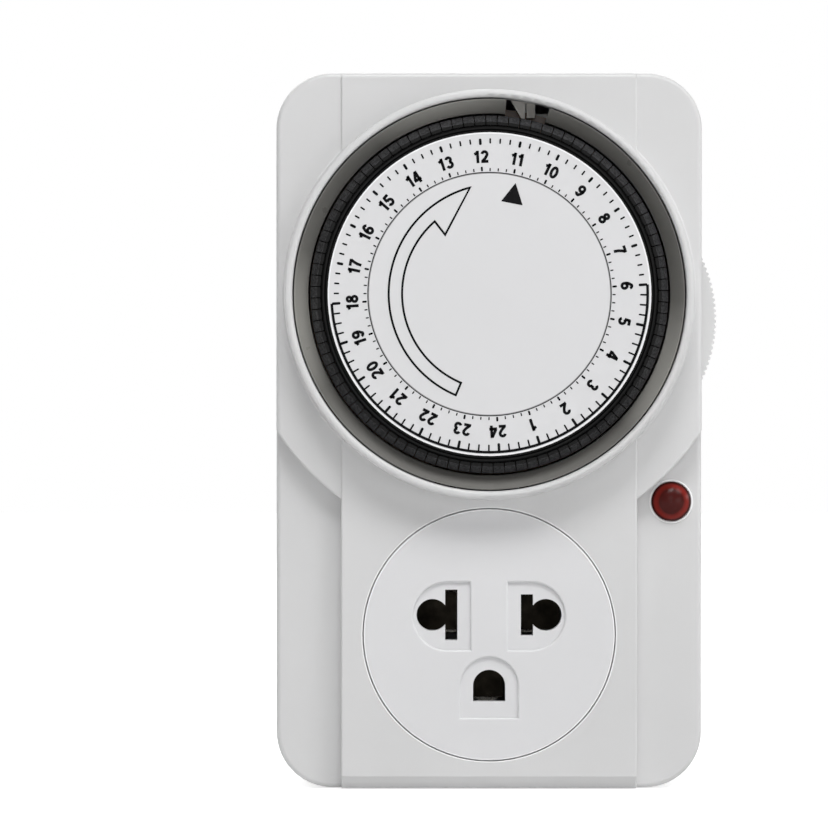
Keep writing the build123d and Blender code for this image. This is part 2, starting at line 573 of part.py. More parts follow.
def dial_gear():
    rear, front = DIAL_GEAR_LAYER
    teeth = gear(DIAL_TEETH, DRIVE_MODULE, rear, front, 0, DIAL_Z, SECOND_ANGLE)
    return teeth - disc(HUB_RADIUS, rear - 1, front + 1, 0, DIAL_Z)


def compound_gear(x, z, wheel, pinion):
    """A large wheel and a small pinion in one moulding, on a fixed pin."""
    both = gear(*wheel[:4], x, z, wheel[4]) + gear(*pinion[:4], x, z, pinion[4])
    both += disc(GEAR_HUB, wheel[2] - GEAR_HUB_PROUD, wheel[3], x, z)
    return both - disc(GEAR_PIN + RUNNING_GAP, wheel[2] - 1, pinion[3] + 1, x, z)


def second_gear():
    wheel = (WHEEL_TEETH, TRAIN_MODULE, *SECOND_WHEEL_LAYER, FIRST_ANGLE)
    turn = mesh_turn(SECOND_PINION_TEETH, SECOND_ANGLE + 180)
    pinion = (SECOND_PINION_TEETH, DRIVE_MODULE, *SECOND_PINION_LAYER, turn)
    return compound_gear(SECOND_X, SECOND_Z, wheel, pinion)


def first_gear():
    wheel = (WHEEL_TEETH, TRAIN_MODULE, *FIRST_WHEEL_LAYER, PINION_ANGLE)
    turn = mesh_turn(PINION_TEETH, FIRST_ANGLE + 180)
    pinion = (PINION_TEETH, TRAIN_MODULE, *FIRST_PINION_LAYER, turn)
    return compound_gear(FIRST_X, FIRST_Z, wheel, pinion)


def motor_pinion():
    """The pinion and the output shaft that it is pressed on."""
    turn = mesh_turn(PINION_TEETH, PINION_ANGLE + 180)
    teeth = gear(PINION_TEETH, TRAIN_MODULE, *MOTOR_PINION_LAYER, SHAFT_X, SHAFT_Z, turn)
    return teeth + disc(SHAFT_RADIUS, SHAFT_REAR, SHAFT_FRONT, SHAFT_X, SHAFT_Z)


def motor_ears():
    angles = (315, 135)
    reach = MOTOR_RADIUS + MOTOR_EAR_REACH
    return [polar(reach, angle, MOTOR_X, MOTOR_Z) for angle in angles]


def motor_can():
    """The synchronous motor's can, with its flange, screw ears and coil terminal bridge."""
    can = disc(MOTOR_RADIUS, MOTOR_REAR, MOTOR_FRONT - 0.8, MOTOR_X, MOTOR_Z)
    can = fillet(depths(can, MOTOR_REAR - 0.01, MOTOR_REAR + 0.01), MOTOR_EDGE)
    flange = Pos(MOTOR_X, MOTOR_Z) * Circle(MOTOR_RADIUS)
    for x, z in motor_ears():
        ends = Pos(x, z) * Circle(MOTOR_EAR_RADIUS) + Pos(MOTOR_X, MOTOR_Z) * Circle(6)
        flange += make_hull(ends.edges())
    can += slab(flange, MOTOR_FRONT - MOTOR_FLANGE, MOTOR_FRONT)
    for x, z in motor_ears():
        can -= disc(SMALL_CLEARANCE, MOTOR_REAR, MOTOR_FRONT + 1, x, z)
    bridge = Rectangle(BRIDGE_WIDTH, BRIDGE_HEIGHT)
    bridge = Pos(MOTOR_X, MOTOR_Z - MOTOR_RADIUS - 1.0) * bridge
    can += slab(bridge, BRIDGE_REAR, BRIDGE_FRONT)
    return can - disc(SHAFT_RADIUS + 0.06, SHAFT_REAR - 1, MOTOR_FRONT + 1, SHAFT_X, SHAFT_Z)


def mechanism_plate():
    """The sheet-metal plate that carries every pivot and the motor."""
    outline = Polygon(
        (-29.5, 33.0), (25.0, 33.0), (25.0, 85.0), (-22.0, 85.0), (-29.5, 77.5), align=None
    )
    plate = slab(fillet(outline.vertices(), 2.5), PLATE_REAR, PLATE_FRONT)
    holes = [(x, z, SMALL_CLEARANCE) for x, z in PILLARS]
    holes += [(x, z, SMALL_PILOT) for x, z in motor_ears()]
    holes += [(0, DIAL_Z, SPINDLE_RIVET), (SHAFT_X, SHAFT_Z, SHAFT_HOLE), (LEVER_X, LEVER_Z, LEVER_PIN)]
    holes += [(x, z, GEAR_PIN) for x, z in small_pin_places()]
    for x, z, radius in holes:
        plate -= disc(radius, PLATE_REAR - 1, PLATE_FRONT + 1, x, z)
    return plate


def small_pin_places():
    return [(SECOND_X, SECOND_Z), (FIRST_X, FIRST_Z), (FEELER_X, FEELER_Z)]


def pivot_pins():
    """Two gear pins, the long feeler pin and the thicker lever pin, riveted in the plate."""
    tops = (SECOND_PIN_FRONT, FIRST_PIN_FRONT, FEELER_PIN_FRONT)
    pins = [disc(GEAR_PIN, PLATE_REAR, top, x, z) for (x, z), top in zip(small_pin_places(), tops)]
    return group(pins + [disc(LEVER_PIN, PLATE_REAR, LEVER_PIN_FRONT, LEVER_X, LEVER_Z)])


def mechanism_screws():
    length, under_ears = SMALL_SCREW_LENGTH, WELL_FLOOR - FLOOR_THICKNESS
    plate = [screw(x, z, PLATE_REAR, length, *SMALL_SCREW) for x, z in PILLARS]
    well = [screw(x, z, under_ears, length, *SMALL_SCREW) for x, z in EARS]
    return group(plate + well)


def motor_screws():
    seat = MOTOR_FRONT - MOTOR_FLANGE
    return group([screw(x, z, seat, 2.3, *SMALL_SCREW) for x, z in motor_ears()])


# ---- override lever, feeler and switch -------------------------------------------------------
def sector(inner, outer, start, end, x, z):
    """Part of a ring, between two angles counter-clockwise from +X."""
    middle = (start + end) / 2
    points = [(x, z)]
    for angle in (start, middle, end):
        points.append((x + 2 * outer * cos(radians(angle)), z + 2 * outer * sin(radians(angle))))
    wedge = Polygon(*points, align=None)
    ring = Pos(x, z) * (Circle(outer) - Circle(inner) if inner else Circle(outer))
    return ring & wedge


def lever_rim():
    """The outer outline of the thumb sector, with its fine grip teeth."""
    step = LEVER_TEETH_PITCH
    count = int((LEVER_TO - LEVER_FROM) / step)
    points = []
    for n in range(count):
        angle = LEVER_FROM + n * step
        for share, radius in ((0.15, LEVER_RADIUS - 0.3), (0.4, LEVER_RADIUS),
                              (0.75, LEVER_RADIUS), (1.0, LEVER_RADIUS - 0.3)):
            turn = radians(angle + share * step)
            points.append((LEVER_X + radius * cos(turn), LEVER_Z + radius * sin(turn)))
    end, start = radians(LEVER_TO), radians(LEVER_FROM)
    for angle in (end, 0.0, start):
        points.append(
            (LEVER_X + LEVER_INNER * cos(angle) * 0.98, LEVER_Z + LEVER_INNER * sin(angle) * 0.98)
        )
    rim = make_face(Polyline(*points, close=True))
    return rim - Pos(LEVER_X, LEVER_Z) * Circle(LEVER_INNER)


def override_lever():
    """The thumb sector, its web and hub, and the cam arm that lifts the feeler's tail."""
    lever = slab(lever_rim(), LEVER_REAR, LEVER_FRONT)
    guard = sector(LEVER_INNER, LEVER_RADIUS - 1.2, LEVER_TO - 4, LEVER_GUARD_TO, LEVER_X, LEVER_Z)
    lever += slab(guard, LEVER_REAR, LEVER_FRONT)
    web = sector(0, LEVER_INNER + 0.5, LEVER_FROM + 4, LEVER_TO - 4.4, LEVER_X, LEVER_Z)
    lever += slab(web, LEVER_WEB_REAR, LEVER_WEB_FRONT)
    lever += disc(LEVER_HUB, LEVER_HUB_REAR, LEVER_HUB_FRONT, LEVER_X, LEVER_Z)
    turn = radians(CAM_ANGLE)
    nose = (LEVER_X + CAM_RADIUS * cos(turn), LEVER_Z + CAM_RADIUS * sin(turn))
    ends = Pos(*nose) * Circle(CAM_NOSE) + Pos(LEVER_X, LEVER_Z) * Circle(CAM_ROOT)
    lever += slab(make_hull(ends.edges()), LEVER_WEB_REAR, LEVER_WEB_FRONT)
    bore = LEVER_PIN + RUNNING_GAP
    return lever - disc(bore, LEVER_REAR, LEVER_HUB_FRONT + 1, LEVER_X, LEVER_Z)


def feeler_lever():
    """The white lever whose nose rides on the tappets and whose tail works the switch."""
    hub = disc(FEELER_HUB, FEELER_REAR, FEELER_FRONT, FEELER_X, FEELER_Z)
    centre, arm_rear = DIAL_Z, FEELER_ARM_REAR
    nose = Polygon(
        (3.7, centre + 32.6), (5.55, centre + 29.55), (6.05, centre + 29.75),
        (6.15, centre + 32.9), align=None,
    )
    heel = Pos(7.05, centre + 31.3) * Rectangle(1.4, 3.0)
    arm = Polygon(
        (3.7, centre + 32.6), (7.9, centre + 32.0), (11.0, centre + 31.6), (20.8, 80.7),
        (22.2, 84.3), (12.0, centre + 33.3), (4.0, centre + 33.4), align=None,
    )
    lever = hub + slab(arm, arm_rear, FEELER_FRONT) + slab(nose, arm_rear, FEELER_FRONT)
    lever += slab(heel, arm_rear - 1, FEELER_FRONT - 0.6)
    tail = Pos(TAIL_X, TAIL_Z) * Rectangle(TAIL_WIDTH, TAIL_LENGTH)
    lever += slab(tail, TAIL_REAR, TAIL_FRONT)
    bore = GEAR_PIN + RUNNING_GAP
    return lever - disc(bore, FEELER_REAR - 1, FEELER_FRONT + 1, FEELER_X, FEELER_Z)


def switch_case():
    width, height = SWITCH_RIGHT - SWITCH_LEFT, SWITCH_HIGH - SWITCH_LOW
    outline = Pos((SWITCH_LEFT + SWITCH_RIGHT) / 2, (SWITCH_LOW + SWITCH_HIGH) / 2)
    case = slab(outline * Rectangle(width, height), SWITCH_REAR, SWITCH_FRONT)
    return case - plunger_round(
        PLUNGER_RADIUS + RUNNING_GAP, PLUNGER_LEFT - 1, SWITCH_RIGHT + 1
    )


def plunger_round(radius, left, right):
    plane = Plane(origin=(left, -PLUNGER_DEPTH, PLUNGER_Z), z_dir=(1, 0, 0))
    return extrude(plane * Circle(radius), right - left)


def switch_plunger():
    return plunger_round(PLUNGER_RADIUS, PLUNGER_LEFT, PLUNGER_RIGHT)


def switch_terminals():
    """Two flat tabs that leave the switch on its left side."""
    tabs = []
    for z in (SWITCH_LOW + TAB_INSET, SWITCH_HIGH - TAB_INSET):
        tab = Pos(SWITCH_LEFT - TAB_LENGTH / 2, z) * Rectangle(TAB_LENGTH, TAB_WIDTH)
        tabs.append(slab(tab, TAB_REAR, TAB_FRONT))
    return group(tabs)


# ---- socket, plug and lamp -------------------------------------------------------------------
def pin_holes():
    """The three openings of the socket face."""
    holes = Sketch()
    for side, height in ((-1, NEUTRAL_SLOT_HEIGHT), (1, LIVE_SLOT_HEIGHT)):
        blade = Pos(side * BLADE_HALF_SPACING, 0) * Rectangle(SLOT_THICKNESS, height)
        holes += blade + Pos(side * ROUND_HALF_SPACING, 0) * Circle(ROUND_HOLE)
    below = Pos(0, EARTH_Z - EARTH_FLAT / 2) * Rectangle(2 * EARTH_HOLE, EARTH_FLAT)
    beyond = Pos(0, EARTH_Z - EARTH_FLAT - 1) * Rectangle(3 * EARTH_HOLE, 2)
    return holes + below + Pos(0, EARTH_Z) * Circle(EARTH_HOLE) - beyond


def pockets():
    """Shallow sunk areas: a D beside each slot, round on its outer side, and an arch for the earth."""
    sunk = Sketch()
    height = 2 * POCKET_HALF_HEIGHT
    end = POCKET_OUTER - POCKET_HALF_HEIGHT
    middle = (POCKET_INNER + POCKET_OUTER) / 2
    for side in (-1, 1):
        square = Pos(side * (POCKET_INNER + end) / 2, POCKET_Z) * Rectangle(end - POCKET_INNER, height)
        limits = Pos(side * middle, POCKET_Z) * Rectangle(POCKET_OUTER - POCKET_INNER, height)
        sunk += square + (Pos(side * end, POCKET_Z) * Circle(POCKET_HALF_HEIGHT) & limits)
    crown = Pos(0, EARTH_Z) * Circle(EARTH_POCKET_HALF)
    foot = Pos(0, (EARTH_Z + EARTH_POCKET_LOW) / 2) * Rectangle(
        2 * EARTH_POCKET_HALF, EARTH_Z - EARTH_POCKET_LOW
    )
    return sunk + crown + foot


def socket_insert():
    """The round face with its pockets, their edges softened, and the flange behind the cover."""
    insert = disc(SOCKET_RADIUS, SOCKET_REAR, BAND_DEPTH, 0, SOCKET_Z)
    insert = fillet(depths(insert, BAND_DEPTH - 0.01, BAND_DEPTH + 0.01), FACE_EDGE)
    insert -= slab(pockets(), BAND_DEPTH - POCKET_DEPTH, BAND_DEPTH + 1)
    rims = [
        edge for edge in depths(insert, BAND_DEPTH - 0.01, BAND_DEPTH + 0.01)
        if hypot(edge.center().X, edge.center().Z - SOCKET_Z) > 0.1
    ]
    insert = fillet(rims, POCKET_EDGE)
    insert += disc(SOCKET_FLANGE, SOCKET_REAR, SOCKET_FLANGE_FRONT, 0, SOCKET_Z)
    return insert - slab(pin_holes(), SOCKET_REAR - 1, BAND_DEPTH + 1)


def contact_block():
    """The moulded block behind the socket face, with a cell for each contact."""
    outline = Pos(0, BLOCK_Z) * RectangleRounded(BLOCK_WIDTH, BLOCK_HEIGHT, BLOCK_CORNER)
    cells = Pos(0, EARTH_CELL_Z) * Rectangle(EARTH_CELL_WIDTH, EARTH_CELL_HEIGHT)
    for side in (-1, 1):
        cells += Pos(side * CELL_X, 0) * Rectangle(CELL_WIDTH, CELL_HEIGHT)
    block = slab(outline, BLOCK_REAR, SOCKET_REAR)
    return block - slab(cells, BLOCK_REAR - 1, SOCKET_REAR + 1)


def strip(points, thickness, width, z):
    """A bent metal strip: an open (x, depth) line, given a thickness and a width along Z."""
    plane = Plane(origin=(0, 0, z - width / 2), x_dir=(1, 0, 0), z_dir=(0, 0, 1))
    line = Polyline(*[(x, -depth) for x, depth in points])
    return extrude(plane * trace(line, thickness), width)


def u_contact(first, second, width, z):
    """Two spring leaves on a flat base, closing towards each other at their pinch."""
    inward = PINCH if second > first else -PINCH
    leaf = [(CONTACT_MOUTH, 0), (CONTACT_PINCH, inward), (CONTACT_BEND, 0), (CONTACT_BASE, 0)]
    line = [(first + shift, depth) for depth, shift in leaf]
    line += [(second - shift, depth) for depth, shift in reversed(leaf)]
    return strip(line, CONTACT_THICKNESS, width, z)


def power_contact(side):
    """A U-shaped spring contact whose two leaves close on a blade or a round pin."""
    inner, outer = (side * x for x in POWER_LEAVES)
    return u_contact(inner, outer, POWER_CONTACT_WIDTH, 0.0)


def live_contact():
    return power_contact(1)


def neutral_contact():
    """The neutral contact carries a leg back to its blade, as nothing switches it."""
    x, base = -BLADE_HALF_SPACING, CONTACT_BASE - 0.2
    leg = strip([(x, base), (x, BLADE_ROOT)], LEG_THICKNESS, LEG_WIDTH, 0.0)
    return power_contact(-1) + leg


def earth_contact():
    """A U-shaped contact on a base that rests on the earth pin's head."""
    leaves = u_contact(-EARTH_LEAF, EARTH_LEAF, EARTH_CONTACT_WIDTH, EARTH_Z)
    return leaves + disc(EARTH_STEM, BLADE_ROOT, CONTACT_BASE - 0.1, 0, EARTH_Z)


def blade(side):
    """A flat plug blade: a chamfered tip, the usual hole near it, a foot inside the rear cover."""
    x = side * BLADE_HALF_SPACING
    flat = Pos(x, 0) * Rectangle(BLADE_THICKNESS, BLADE_HEIGHT)
    body = slab(flat, BLADE_ROOT, -BLADE_LENGTH)
    body = chamfer(depths(body, -BLADE_LENGTH - 0.01, -BLADE_LENGTH + 0.01), BLADE_TIP_CHAMFER)
    across = Plane(origin=(x - 2, BLADE_LENGTH - BLADE_HOLE_INSET, 0), z_dir=(1, 0, 0))
    body -= extrude(across * Circle(BLADE_HOLE), 4)
    foot = Pos(x, 0) * Rectangle(BLADE_FOOT_WIDTH, BLADE_FOOT_HEIGHT)
    return body + slab(foot, WALL, BLADE_FOOT_FRONT)


def earth_pin():
    """The round earth pin, its thicker root in the rear cover's hole, and its flange inside."""
    pin = disc(EARTH_PIN_RADIUS, 0.5, -EARTH_PIN_LENGTH, 0, EARTH_Z)
    end = depths(pin, -EARTH_PIN_LENGTH - 0.01, -EARTH_PIN_LENGTH + 0.01)
    pin = fillet(end, EARTH_TIP_ROUND) + disc(EARTH_ROOT_RADIUS, BLADE_ROOT, 0, 0, EARTH_Z)
    return pin + disc(EARTH_COLLAR, WALL, EARTH_COLLAR_FRONT, 0, EARTH_Z)


def lamp_lens():
    """The red lens: a hollow stem, a flange seated in the bead and a low dome."""
    crown, rim = (0, FLANK_DEPTH + LAMP_CROWN), (LAMP_RADIUS - 0.3, FLANK_DEPTH + 0.7)
    rise = crown[1] - rim[1]
    dome = (rim[0] ** 2 + rise**2) / (2 * rise)
    outline = Polyline(
        crown, (0, FLANK_DEPTH + 0.6), (1.2, FLANK_DEPTH + 0.5), (LENS_BORE, FLANK_DEPTH),
        (LENS_BORE, LENS_REAR), (LENS_STEM, LENS_REAR), (LENS_STEM, FLANK_DEPTH),
        (LAMP_RADIUS, FLANK_DEPTH), (LAMP_RADIUS, FLANK_DEPTH + 0.4), rim,
    )
    outline += RadiusArc(rim, crown, -dome)
    return turned_outline(outline, LAMP_X, LAMP_Z)


def neon_lamp():
    """The glass indicator bulb behind the lens."""
    bulb = disc(BULB_RADIUS, BULB_REAR, BULB_FRONT, LAMP_X, LAMP_Z)
    return fillet(depths(bulb, BULB_FRONT - 0.01, BULB_FRONT + 0.01), BULB_ROUND)


def lamp_resistor():
    place = Pos(RESISTOR_X, -RESISTOR_DEPTH, RESISTOR_Z)
    return place * Cylinder(RESISTOR_RADIUS, RESISTOR_LENGTH)


def wire(points, radius):
    """A round insulated wire on straight runs joined by arcs; points are (x, depth, z)."""
    path = FilletPolyline(*[(x, -depth, z) for x, depth, z in points], radius=WIRE_BEND)
    section = Plane(origin=path @ 0, z_dir=path % 0) * Circle(radius)
    return sweep(section, path)


def live_wires():
    """The feed from the live blade to the switch and the return to the socket's contact."""
    x = BLADE_HALF_SPACING
    feed = [(x, 4.4, 4.6), (x, 4.4, 30.0), (12.0, 4.4, 60.0), (12.0, 12.5, 66.0)]
    back = [(9.5, 13.0, 4.0), (9.5, 9.0, 12.0), (16.5, 8.5, 40.0), (16.5, 8.5, 70.0)]
    return group([wire(feed, WIRE_RADIUS), wire(back, WIRE_RADIUS)])


def motor_leads():
    """Two thin leads from the motor's coil down towards the plug."""
    leads = []
    for x in (-10.0, -7.0):
        low_x = x * 0.75
        route = [(x, 8.5, 42.8), (x, 8.5, 30.0), (low_x, 5.0, 16.0), (low_x, 5.0, 8.0)]
        leads.append(wire(route, LEAD_RADIUS))
    return group(leads)


def build_nodes():
    """Every node of the timer by name."""
    nodes = {
        "front_cover": front_cover(),
        "rear_cover": rear_cover(),
        "cover_screws": cover_screws(),
        "dial_well": dial_well(),
        "mechanism_plate": mechanism_plate(),
        "mechanism_screws": mechanism_screws(),
        "pivot_pins": pivot_pins(),
        "motor_can": motor_can(),
        "motor_screws": motor_screws(),
        "motor_leads": motor_leads(),
        "motor_pinion": motor_pinion(),
        "first_gear": first_gear(),
        "second_gear": second_gear(),
        "dial_gear": dial_gear(),
        "dial_spindle": dial_spindle(),
        "dial_carrier": dial_carrier(),
        "number_ring": number_ring(),
        "pointer_disc": pointer_disc(),
        "override_lever": override_lever(),
        "feeler_lever": feeler_lever(),
        "switch_case": switch_case(),
        "switch_plunger": switch_plunger(),
        "switch_terminals": switch_terminals(),
        "live_wires": live_wires(),
        "socket_insert": socket_insert(),
        "contact_block": contact_block(),
        "live_contact": live_contact(),
        "neutral_contact": neutral_contact(),
        "earth_contact": earth_contact(),
        "live_blade": blade(1),
        "neutral_blade": blade(-1),
        "earth_pin": earth_pin(),
        "lamp_lens": lamp_lens(),
        "neon_lamp": neon_lamp(),
        "lamp_resistor": lamp_resistor(),
    }
    segment = tappet()
    for hour in range(1, HOURS + 1):
        nodes[f"tappets_hour_{hour:02d}"] = hour_tappets(hour, segment)
    return nodes


os.makedirs("parts", exist_ok=True)
for name, shape in build_nodes().items():
    export_step(shape, f"parts/{name}.step")
    print(name, len(shape.solids()), round(shape.volume, 2))
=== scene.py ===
"""Looks of a plug-in day timer: finishes, dial print, cross-head cover screws and stage.

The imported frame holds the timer's own pieces at their real size and place, in metres:
X to the right as the user faces the dial, Z up, the wall face at y = 0, the user at -Y.
Depths in this file run forward from the wall face, so a depth of 0.038 is y = -0.038.
"""

import json
from math import cos, pi, radians, sin

import bpy
import numpy as np
from bpy.props import FloatProperty, FloatVectorProperty, PointerProperty
from bpy.types import Operator, Panel, PropertyGroup
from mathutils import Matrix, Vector


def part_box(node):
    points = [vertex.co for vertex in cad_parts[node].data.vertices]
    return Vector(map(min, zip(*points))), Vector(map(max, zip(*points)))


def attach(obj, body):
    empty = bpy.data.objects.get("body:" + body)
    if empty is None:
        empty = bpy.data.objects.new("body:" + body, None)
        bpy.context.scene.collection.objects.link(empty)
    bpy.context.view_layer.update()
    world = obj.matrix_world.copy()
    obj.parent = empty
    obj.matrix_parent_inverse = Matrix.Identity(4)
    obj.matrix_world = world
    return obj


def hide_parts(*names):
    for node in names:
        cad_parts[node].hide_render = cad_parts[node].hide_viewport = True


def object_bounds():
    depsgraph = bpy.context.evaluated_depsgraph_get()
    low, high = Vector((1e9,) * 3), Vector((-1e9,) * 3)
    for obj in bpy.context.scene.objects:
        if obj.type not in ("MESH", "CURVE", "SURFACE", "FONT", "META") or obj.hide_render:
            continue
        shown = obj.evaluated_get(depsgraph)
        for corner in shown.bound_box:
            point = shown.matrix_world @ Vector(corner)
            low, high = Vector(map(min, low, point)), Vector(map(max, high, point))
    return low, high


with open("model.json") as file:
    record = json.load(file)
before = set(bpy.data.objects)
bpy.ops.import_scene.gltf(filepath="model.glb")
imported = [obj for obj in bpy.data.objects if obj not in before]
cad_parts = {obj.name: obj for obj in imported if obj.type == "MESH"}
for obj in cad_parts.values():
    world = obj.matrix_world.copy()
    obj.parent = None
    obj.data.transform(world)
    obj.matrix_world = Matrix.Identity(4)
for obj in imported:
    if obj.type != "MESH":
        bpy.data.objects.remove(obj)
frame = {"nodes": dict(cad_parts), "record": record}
CAD_LOW, CAD_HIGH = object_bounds()

bl_info = {
    "name": "Plug-in Day Timer",
    "version": (1, 1, 0),
    "blender": (4, 5, 0),
    "location": "3D View > Sidebar > Timer",
    "description": "Finishes, dial print, cover screws and stage of a plug-in day timer",
    "category": "Add Mesh",
}

MM = 0.001


# ---- places read from the frame --------------------------------------------------------------
def middle(node):
    """The middle of a node's box."""
    low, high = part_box(node)
    return (low + high) / 2


def front_depth(node):
    """How far a node's front stands from the wall face."""
    return -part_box(node)[0].y


def half_width(node):
    """The radius of a round node, from its box."""
    low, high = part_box(node)
    return (high.x - low.x) / 2


DIAL = middle("number_ring")
RING_FACE = front_depth("number_ring")
RING_RADIUS = half_width("number_ring")
DISC_FACE = front_depth("pointer_disc")
DISC_RADIUS = half_width("pointer_disc")
SOCKET = middle("socket_insert")
SOCKET_RADIUS = 21.05 * MM     # of its round seam: the hidden flange is wider
LENS = middle("lamp_lens")
LENS_RADIUS = half_width("lamp_lens")
BODY_LOW, BODY_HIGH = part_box("front_cover")
SCREWS_LOW, SCREWS_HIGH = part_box("cover_screws")
BODY_FACE = 38.0 * MM          # depth of the raised band's face
REST_ANGLE = -3.5              # where noon's mark stands, in degrees clockwise from the top
HOURS = 24
QUARTERS = 4
NIGHT_FROM, NIGHT_TO = 18, 6   # the hours between which the night arc runs


# ---- settings --------------------------------------------------------------------------------
class DialPrintSettings(PropertyGroup):
    """Sizes of the print on the dial."""

    digit_height: FloatProperty(
        name="Digit height", description="Height of the hour numbers", default=2.08 * MM,
        unit="LENGTH",
    )
    digit_radius: FloatProperty(
        name="Digit radius", description="From the dial's centre to the middle of a number",
        default=22.95 * MM, unit="LENGTH",
    )
    stroke: FloatProperty(
        name="Stroke", description="Stroke width as a share of the digit height", default=0.23,
        subtype="FACTOR",
    )
    hour_tick: FloatProperty(
        name="Hour tick", description="Width of the mark at each hour", default=0.45 * MM,
        unit="LENGTH",
    )
    quarter_tick: FloatProperty(
        name="Quarter tick", description="Width of the mark at each quarter", default=0.28 * MM,
        unit="LENGTH",
    )
    arrow_line: FloatProperty(
        name="Arrow line", description="Line width of the turning arrow", default=0.36 * MM,
        unit="LENGTH",
    )
    ink: FloatProperty(
        name="Ink thickness", description="How far the print stands proud of its face",
        default=0.02 * MM, unit="LENGTH",
    )


class ScrewSettings(PropertyGroup):
    """Sizes of a cover screw."""

    head_radius: FloatProperty(
        name="Head radius", description="Radius of a cover screw's head", default=2.8 * MM,
        unit="LENGTH",
    )
    head_height: FloatProperty(
        name="Head height", description="Height of the head", default=2.0 * MM, unit="LENGTH",
    )
    shank_radius: FloatProperty(
        name="Thread radius", description="Outer radius of the thread", default=1.45 * MM,
        unit="LENGTH",
    )
    pitch: FloatProperty(
        name="Pitch", description="From one thread crest to the next", default=1.3 * MM,
        unit="LENGTH",
    )


class FinishSettings(PropertyGroup):
    """Colours of the finishes."""

    cover_colour: FloatVectorProperty(
        name="Covers", description="Colour of the two covers", subtype="COLOR",
        default=(0.640, 0.640, 0.642),
    )
    face_colour: FloatVectorProperty(
        name="Socket and dial faces", description="Colour of the socket face and dial faces",
        subtype="COLOR", default=(0.690, 0.690, 0.700),
    )
    lever_colour: FloatVectorProperty(
        name="Lever", description="Colour of the thumb lever", subtype="COLOR",
        default=(0.700, 0.700, 0.700),
    )
    # the cup's dark grey is painted shade of the deep cup round the dial
    well_colour: FloatVectorProperty(
        name="Well", description="Colour of the cup round the dial", subtype="COLOR",
        default=(0.150, 0.147, 0.137),
    )
    black_colour: FloatVectorProperty(
        name="Dial black", description="Colour of the dial wheel and its segments",
        subtype="COLOR", default=(0.004, 0.004, 0.004),
    )
    ink_colour: FloatVectorProperty(
        name="Ink", description="Colour of the printed numbers and marks", subtype="COLOR",
        default=(0.003, 0.003, 0.0035),
    )
    lens_colour: FloatVectorProperty(
        name="Lens", description="Colour of the lamp's lens", subtype="COLOR",
        default=(0.210, 0.014, 0.009),
    )


class StageSettings(PropertyGroup):
    """Lights, floor and camera."""

    key_power: FloatProperty(
        name="Key light", description="Power of the soft light above and in front", default=8.6,
        unit="POWER",
    )
    right_power: FloatProperty(
        name="Right light", description="Power of the high light on the right", default=3.0,
        unit="POWER",
    )
    left_power: FloatProperty(
        name="Left light", description="Power of the light on the left", default=0.8,
        unit="POWER",
    )
    edge_power: FloatProperty(
        name="Edge light", description="Power of the light that grazes the face from the right",
        default=1.3, unit="POWER",
    )
    low_power: FloatProperty(
        name="Low light", description="Power of the low light in front, on the right",
        default=1.3, unit="POWER",
    )
    front_power: FloatProperty(
        name="Front light", description="Power of the light in front", default=1.2, unit="POWER",
    )
    rear_power: FloatProperty(
        name="Rear light", description="Power of the light behind, for the back", default=11.0,
        unit="POWER",
    )
    sky: FloatProperty(
        name="Sky", description="Strength of the even light from all round", default=0.01,
    )
    floor_lift: FloatProperty(
        name="Floor glow", description="Brightness of the floor's own white near the timer",
        default=0.72, subtype="FACTOR",
    )
    camera_distance: FloatProperty(
        name="Camera distance", description="From the front of the body to the camera",
        default=1.0988, unit="LENGTH",
    )
    lens: FloatProperty(
        name="Lens", description="Focal length of the camera", default=285.0, unit="CAMERA",
    )


# ---- meshes ----------------------------------------------------------------------------------
def add_piece(name, points, faces, body, material, smooth=False):
    """A mesh object at the origin, riding on a body of the frame."""
    mesh = bpy.data.meshes.new(name)
    mesh.from_pydata(np.asarray(points, float).tolist(), [], np.asarray(faces).tolist())
    mesh.polygons.foreach_set("use_smooth", np.full(len(mesh.polygons), smooth))
    mesh.materials.append(material)
    mesh.update()
    piece = bpy.data.objects.new(name, mesh)
    bpy.context.scene.collection.objects.link(piece)
    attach(piece, body)
    return piece


def joined(parts):
    """Several (points, quads) lists as one, each one's quads counted on from the last."""
    counts = np.cumsum([0] + [len(points) for points, _ in parts])
    points = np.concatenate([points for points, _ in parts])
    faces = np.concatenate([quads + start for (_, quads), start in zip(parts, counts)])
    return points, faces


def ribbon(path, width, closed=False):
    """A flat line drawn with a broad pen: (x, z) points on both sides of a path.

    Each point moves half the width along the path's normal there, which is the mean of the
    normals of the two runs that meet at it, lengthened by one over the cosine of half the turn,
    and at most doubled.
    """
    path = np.asarray(path, float)
    if closed:
        runs = np.roll(path, -1, 0) - path
        before = np.roll(runs, 1, 0)
    else:
        runs = np.diff(path, axis=0)
        before = np.concatenate([runs[:1], runs])
        runs = np.concatenate([runs, runs[-1:]])
    unit = [r / np.linalg.norm(r, axis=1, keepdims=True) for r in (before, runs)]
    mean = unit[0] + unit[1]
    mean /= np.linalg.norm(mean, axis=1, keepdims=True)
    reach = 1 / np.clip((mean * unit[1]).sum(1), 0.5, 1.0)
    normal = np.stack([-mean[:, 1], mean[:, 0]], 1) * (reach * width / 2)[:, None]
    return path + normal, path - normal


